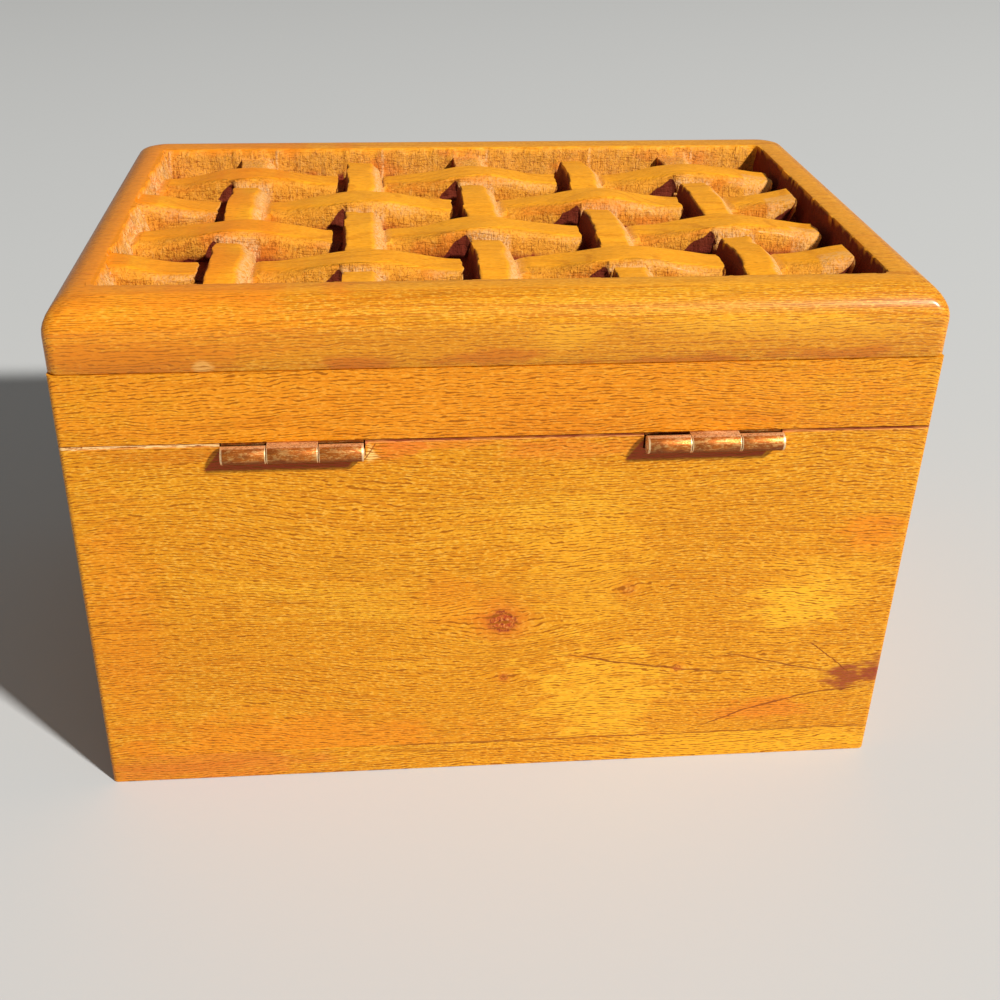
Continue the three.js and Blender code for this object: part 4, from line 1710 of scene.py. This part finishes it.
@dataclass
class ButtHinge:
    """One brass butt hinge: two leaves, a pin and six slotted wood screws."""

    side: str
    brass: bpy.types.Material
    rim_brass: bpy.types.Material
    screw_brass: bpy.types.Material
    edge_angle: float = 50.0
    leaf_angle: float = 30.0
    pin_angle: float = 35.0
    screw_angle: float = 30.0
    edge_ease: float = 0.14
    rim_ease: float = 0.65
    rim_from: float = 76.7
    rim_slopes: tuple[float, float] = (0.1, 0.98)
    slot_width: float = 0.5
    slot_depth: float = 0.45
    slot_rim: float = 0.02
    shank_radius: float = 1.1
    tip_length: float = 1.6
    pin_dome: tuple[tuple[float, float], ...] = ((0.0, 0.0), (0.04, 0.45), (0.16, 0.8), (0.34, 1.0))
    pin_steps: int = 28
    head_segments: int = 28
    head_ease: float = 0.12
    head_edge: float = 0.1
    tip_radius: float = 0.12
    screws: int = 3

    def build(self) -> None:
        """Builds the leaves, the pin and the screws."""
        for part, name in (("lid_leaf", "upper_leaf"), ("body_leaf", "lower_leaf")):
            node = f"{self.side}_hinge_{part}"
            bm = node_copy(node)
            rims = filter(self.is_rim, turning_edges(bm, self.edge_angle))
            bevel_edges(bm, rims, self.rim_ease)
            flattest, steepest = self.rim_slopes
            for face in bm.faces:
                face.material_index = int(flattest < abs(face.normal.x) < steepest)
            edges = turning_edges(bm, self.edge_angle)
            bevel_edges(bm, [edge for edge in edges if not self.is_rim(edge)], self.edge_ease)
            sharpen(bm, self.leaf_angle)
            make_piece(bm, f"{self.side}_{name}", [node],
                       [self.brass, self.rim_brass])
        self.pin()
        for number in range(1, self.screws + 1):
            self.screw(f"{self.side}_hinge_body_screw_{number}", False)
            self.screw(f"{self.side}_hinge_lid_screw_{number}", True)

    def is_rim(self, edge: bmesh.types.BMEdge) -> bool:
        """True for an edge round the end of a knuckle."""
        first, second = (vert.co for vert in edge.verts)
        return abs(first.x - second.x) < TOUCH and min(first.y, second.y) > self.rim_from

    def pin(self) -> None:
        """Makes the pin as a rod with peened, domed ends."""
        node = f"{self.side}_hinge_pin"
        low, high = millimetre_box(node)
        radius = (high.z - low.z) / 2
        half = (high.x - low.x) / 2
        bm = bmesh.new()
        profile = [(-half + inset, radius * share) for inset, share in self.pin_dome]
        profile += [(-x, r) for x, r in reversed(profile)]
        verts = [bm.verts.new((x, 0.0, r)) for x, r in profile]
        edges = [bm.edges.new(pair) for pair in zip(verts, verts[1:])]
        bmesh.ops.spin(bm, geom=verts + edges, cent=(0, 0, 0), axis=(1, 0, 0),
                       angle=TURN, steps=self.pin_steps, use_merge=True)
        bmesh.ops.remove_doubles(bm, verts=bm.verts, dist=PIN_WELD)
        bmesh.ops.recalc_face_normals(bm, faces=bm.faces)
        bmesh.ops.translate(bm, vec=(low + high) / 2, verts=bm.verts)
        sharpen(bm, self.pin_angle)
        make_piece(bm, f"{self.side}_pin_rod", [node], [self.brass])

    def screw(self, node: str, upwards: bool) -> None:
        """Makes a countersunk screw with a slotted head.

        Args:
            node: CAD node that it stands for.
            upwards: True for a screw that points up into the lid.
        """
        low, high = millimetre_box(node)
        centre = (low + high) / 2
        length = high.z - low.z
        head = (high.x - low.x) / 2
        radius = head - self.head_ease
        bm = bmesh.new()
        bmesh.ops.create_circle(bm, cap_ends=True, radius=radius, segments=self.head_segments)
        rim = [edge for edge in bm.edges if edge.is_boundary]
        rings = ((head, -self.head_edge), (self.shank_radius, self.shank_radius - head),
                 (self.shank_radius, self.tip_length - length), (self.tip_radius, -length))
        for new_radius, height in rings:
            made = bmesh.ops.extrude_edge_only(bm, edges=rim)["geom"]
            rim = [g for g in made if isinstance(g, bmesh.types.BMEdge)]
            verts = list({vert for edge in rim for vert in edge.verts})
            factor = new_radius / radius
            bmesh.ops.scale(bm, vec=(factor, factor, 1.0), verts=verts)
            for vert in verts:
                vert.co.z = height
            radius = new_radius
        bmesh.ops.holes_fill(bm, edges=rim, sides=0)
        self.cut_slot(bm)
        bmesh.ops.recalc_face_normals(bm, faces=bm.faces)
        turn = (sum(map(ord, node)) * 37) % 180
        bmesh.ops.rotate(bm, cent=(0, 0, 0), matrix=Matrix.Rotation(math.radians(turn), 3, "Z"),
                         verts=bm.verts)
        if upwards:
            bmesh.ops.rotate(bm, cent=(0, 0, 0), matrix=Matrix.Rotation(math.pi, 3, "X"),
                             verts=bm.verts)
        top = low.z if upwards else high.z
        bmesh.ops.translate(bm, vec=(centre.x, centre.y, top), verts=bm.verts)
        sharpen(bm, self.screw_angle)
        make_piece(bm, node.replace("hinge_", "") + "_slotted", [node],
                   [self.screw_brass])

    @staticmethod
    def head_top(bm: bmesh.types.BMesh) -> list[bmesh.types.BMFace]:
        """The faces of the head's flat top."""
        return [face for face in bm.faces
                if abs(face.normal.z) > LEVEL_SHARE and abs(face.calc_center_median().z) < TOUCH]

    def cut_slot(self, bm: bmesh.types.BMesh) -> None:
        """Sinks the driver's slot in the head's flat top.

        Args:
            bm: The screw, with its head at height 0.
        """
        for side in (-1, 1):
            top = self.head_top(bm)
            geom = top + list({edge for face in top for edge in face.edges})
            geom += list({vert for face in top for vert in face.verts})
            bmesh.ops.bisect_plane(bm, geom=geom, dist=1e-5,
                                   plane_co=(0, side * self.slot_width / 2, 0),
                                   plane_no=(0, 1, 0))
        middle = [face for face in self.head_top(bm)
                  if abs(face.calc_center_median().y) < self.slot_width / 4]
        bmesh.ops.inset_region(bm, faces=middle, thickness=self.slot_rim, depth=0.0,
                               use_even_offset=True)
        made = bmesh.ops.extrude_face_region(bm, geom=middle)
        verts = [g for g in made["geom"] if isinstance(g, bmesh.types.BMVert)]
        bmesh.ops.translate(bm, vec=(0, 0, -self.slot_depth), verts=verts)
        bmesh.ops.delete(bm, geom=middle, context="FACES_ONLY")


@dataclass(frozen=True)
class Studio:
    """Pale floor, one lamp in an even pale room, and the photograph's camera, in metres."""

    camera_place: tuple[float, float, float] = (0.03182, 0.35896, 0.26586)
    camera_heading: float = 175.053
    camera_dip: float = 28.461
    camera_roll: float = 0.882
    lens: float = 44.64
    shift: tuple[float, float] = (0.02235, -0.05872)
    floor_radius: float = 6.0
    key_direction: tuple[float, float, float] = (-0.55, 0.56, 0.62)
    key_distance: float = 8.0
    key_size: float = 0.5
    key_power: float = 950.0
    aim_height: float = 0.09
    sky: float = 0.19
    sky_colour: Colour = (1.0, 1.0, 1.0, 1.0)
    floor_colour: Colour = tone(198, 198, 195)
    floor_roughness: float = 0.7
    sensor: float = 36.0

    def build(self) -> None:
        """Sets up the floor, the lamp, the world, the camera and the view settings."""
        self.floor()
        self.lamp()
        self.world()
        self.camera()
        bpy.context.scene.view_settings.view_transform = "Standard"

    def floor(self) -> None:
        """Lays the floor, level with the underside of the box."""
        bm = bmesh.new()
        bmesh.ops.create_circle(bm, cap_ends=True, radius=self.floor_radius, segments=96)
        mesh = bpy.data.meshes.new("floor")
        bm.to_mesh(mesh)
        bm.free()
        sheet = NodeSheet("pale_floor")
        mesh.materials.append(sheet.surface({
            "Base Color": self.floor_colour,
            "Roughness": self.floor_roughness,
        }))
        floor = bpy.data.objects.new("floor", mesh)
        bpy.context.scene.collection.objects.link(floor)

    def lamp(self) -> None:
        """Hangs the square lamp that looks at the middle of the box."""
        data = bpy.data.lights.new("key_lamp", "AREA")
        data.size = self.key_size
        data.energy = self.key_power
        lamp = bpy.data.objects.new("key_lamp", data)
        way = Vector(self.key_direction).normalized()
        lamp.location = Vector((0.0, 0.0, self.aim_height)) + way * self.key_distance
        lamp.rotation_euler = way.to_track_quat("Z", "Y").to_euler()
        bpy.context.scene.collection.objects.link(lamp)

    def world(self) -> None:
        """Lights the scene evenly from all round."""
        world = bpy.data.worlds.new("studio")
        bpy.context.scene.world = world
        world.use_nodes = True
        nodes, links = world.node_tree.nodes, world.node_tree.links
        nodes.clear()
        light = nodes.new("ShaderNodeBackground")
        light.inputs["Color"].default_value = self.sky_colour
        light.inputs["Strength"].default_value = self.sky
        end = nodes.new("ShaderNodeOutputWorld")
        links.new(light.outputs[0], end.inputs["Surface"])

    def camera(self) -> None:
        """Places the camera where the photograph was taken from."""
        data = bpy.data.cameras.new("camera")
        data.lens = self.lens
        data.sensor_width = self.sensor
        data.shift_x, data.shift_y = self.shift
        data.clip_start = 0.01
        camera = bpy.data.objects.new("camera", data)
        turn = (Matrix.Rotation(math.radians(self.camera_heading), 4, "Z")
                @ Matrix.Rotation(math.radians(90 - self.camera_dip), 4, "X")
                @ Matrix.Rotation(math.radians(self.camera_roll), 4, "Z"))
        camera.matrix_world = Matrix.Translation(self.camera_place) @ turn
        bpy.context.scene.collection.objects.link(camera)
        bpy.context.scene.camera = camera


# Tones of the marks and areas on the boards; SHADE is the tone of the painted hinge shadows
YELLOW = tone(252, 186, 44)
ORANGE = tone(232, 128, 22)
RED = tone(224, 98, 38)
RED_BROWN = tone(186, 82, 20)
TAN = tone(200, 104, 16)
STAIN = tone(140, 50, 34)
SHADE = tone(172, 62, 30)
CORAL = tone(226, 108, 30)
BARE_CORNER = tone(246, 198, 112)
BARE_SPOT = tone(246, 190, 104)
DARK_HONEY = tone(196, 118, 4)
CLAY = tone(216, 116, 40)
STRAW = tone(242, 172, 34)

BACK_FINISH = WoodFinish(
    "back_panel_wood",
    seed=1.0,
    worn_height=113.2,
    worn_from=75.9,
    patches=(
        Patch(-23.0, 73.0, 18.0, 32.0, YELLOW, 0.25, 0.9),
        Patch(-30.0, 24.0, 24.0, 22.0, YELLOW, 0.5, 0.9),
        Patch(-83.5, 55.0, 15.0, 11.0, YELLOW, 0.55, 0.7),
        Patch(-93.0, 64.0, 20.0, 13.0, YELLOW, 0.3, 0.8),
        Patch(-103.0, 80.0, 13.0, 7.0, ORANGE, 0.5),
        Patch(60.0, 12.0, 56.0, 15.0, ORANGE, 0.45),
        Patch(104.0, 50.0, 12.0, 60.0, ORANGE, 0.3),
        Patch(12.0, 60.0, 16.0, 12.0, ORANGE, 0.3),
        Patch(28.5, 110.0, 8.0, 3.0, RED, 0.4, 0.8),
        Patch(18.0, 111.5, 34.0, 1.6, RED, 0.3),
        Patch(-20.0, 109.5, 25.0, 4.0, RED, 0.32),
        Patch(85.0, 110.0, 24.0, 3.0, RED_BROWN, 0.3),
        Patch(-80.0, 18.0, 22.0, 5.0, CORAL, 0.45),
        Patch(-103.5, 29.5, 12.5, 5.0, STAIN, 0.85, 0.8),
        Patch(-113.0, 31.0, 6.0, 6.5, STAIN, 0.65, 0.8),
        Patch(35.4, 109.6, 2.0, 3.4, BARE_CORNER, 0.85, 1.1),
    ),
    cracks=(
        Crack((-15.0, 42.2), (-76.0, 31.8), 1.3, 0.32, 0.85),
        Crack((-64.0, 40.4), (-98.0, 31.3), 0.3, 0.3, 0.8),
        Crack((-91.0, 42.2), (-105.0, 30.0), -0.6, 0.35, 0.85),
        Crack((-60.0, 11.6), (-112.0, 25.0), -3.0, 0.4, 0.8),
        Crack((33.6, 112.6), (37.4, 107.0), 0.4, 0.4, 0.8),
    ),
    # Painted shadows below the two hinges
    painted_shadows=(
        PaintedShadow(37.4, 74.4, 105.4, 110.5, 0.75, SHADE, 0.9),
        PaintedShadow(-72.8, -35.8, 105.4, 110.5, 0.75, SHADE, 0.9),
    ),
    knots=(
        Knot(-0.6, 54.0, 4.6, 1.0),
        Knot(-1.4, 33.9, 1.5, 0.6),
        Knot(-35.8, 63.5, 2.2, 0.4),
        Knot(-52.4, 34.8, 1.3, 0.6),
    ),
)
SLAB_FINISH = WoodFinish(
    "carved_slab_wood",
    seed=4.0,
    wander=14.0,
    dive=0.8,
    growth_strength=0.55,
    year_width=2.2,
    pore_strength=0.7,
    varnish=0.04,
    specular=0.12,
    carved=True,
    patches=(
        Patch(94.0, 136.2, 30.0, 6.4, TAN, 0.75, 0.35),
        Patch(39.5, 135.0, 13.0, 2.6, RED_BROWN, 0.8, 0.6),
        Patch(4.0, 136.0, 17.0, 2.4, RED_BROWN, 0.7, 0.8),
        Patch(-40.0, 134.2, 16.0, 1.7, RED_BROWN, 0.6, 0.8),
        Patch(-86.0, 135.0, 32.0, 2.2, RED_BROWN, 0.6, 0.8),
        Patch(76.0, 135.2, 2.7, 1.9, BARE_SPOT, 0.7, 0.8),
        Patch(96.0, 151.9, 60.0, 3.4, ORANGE, 0.55),
        Patch(92.0, 145.0, 60.0, 9.0, ORANGE, 0.4),
        Patch(-14.0, 142.0, 14.0, 4.0, YELLOW, 0.5),
        Patch(-70.0, 143.0, 40.0, 4.5, YELLOW, 0.4),
        Patch(0.0, 138.5, 180.0, 8.0, DARK_HONEY, 0.4, 0.3),
    ),
)
RAIL_FINISH = WoodFinish(
    "lid_back_rail_wood",
    seed=8.0,
    patches=(Patch(10.0, 123.0, 150.0, 30.0, ORANGE, 0.4, 0.4),),
)
FOOT_FINISH = WoodFinish(
    "foot_board_wood",
    seed=2.0,
    streak_strength=0.65,
    patches=(
        Patch(88.0, 5.0, 44.0, 9.0, CLAY, 0.55),
        Patch(-70.0, 5.0, 60.0, 9.0, STRAW, 0.6),
    ),
    cracks=(
        Crack((-122.0, 9.6), (40.0, 9.7), 0.0, 0.45, 0.7),
        Crack((30.0, 6.6), (-80.0, 8.2), 0.5, 0.3, 0.4),
    ),
)
INSIDE_FINISH = WoodFinish(
    "inside_wood",
    tones=WoodTones(
        deep=tone(196, 122, 54),
        middle=tone(214, 146, 74),
        bright=tone(228, 168, 98),
        light=tone(236, 184, 116),
        pore=tone(150, 88, 40),
        growth=tone(180, 108, 50),
    ),
    seed=9.0,
    roughness=0.62,
    varnish=0.0,
)
HINGE_BRASS = BrassFinish("hinge_brass")
RIM_BRASS = BrassFinish("rubbed_brass", brown=tone(244, 206, 128), dark=tone(206, 152, 84),
                        bright=tone(252, 228, 160), worn=0.4, gloss=0.5)
SCREW_BRASS = BrassFinish("screw_brass", brown=tone(190, 140, 72), dark=tone(120, 80, 44),
                          worn=0.4)


def main() -> None:
    """Builds the studio and every sub-assembly in order."""
    logging.basicConfig(level=logging.INFO, format="%(message)s")
    Studio().build()
    CarvedLidTop(SLAB_FINISH, INSIDE_FINISH).build()
    WoodFrame({
        "bottom_board": FOOT_FINISH,
        "front_panel": WoodFinish("front_panel_wood", seed=3.0),
        "back_panel": BACK_FINISH,
        "left_panel": WoodFinish("left_panel_wood", Grain.CROSSWISE, seed=5.0),
        "right_panel": WoodFinish("right_panel_wood", Grain.CROSSWISE, seed=6.0),
        "lid_front_rail": WoodFinish("lid_front_rail_wood", seed=7.0),
        "lid_back_rail": RAIL_FINISH,
        "lid_left_rail": WoodFinish("lid_left_rail_wood", Grain.CROSSWISE, seed=10.0),
        "lid_right_rail": WoodFinish("lid_right_rail_wood", Grain.CROSSWISE, seed=11.0),
    }, INSIDE_FINISH).build()
    brasses = [finish.material() for finish in (HINGE_BRASS, RIM_BRASS, SCREW_BRASS)]
    for side in ("left", "right"):
        ButtHinge(side, *brasses).build()


if __name__ == "__main__":
    main()
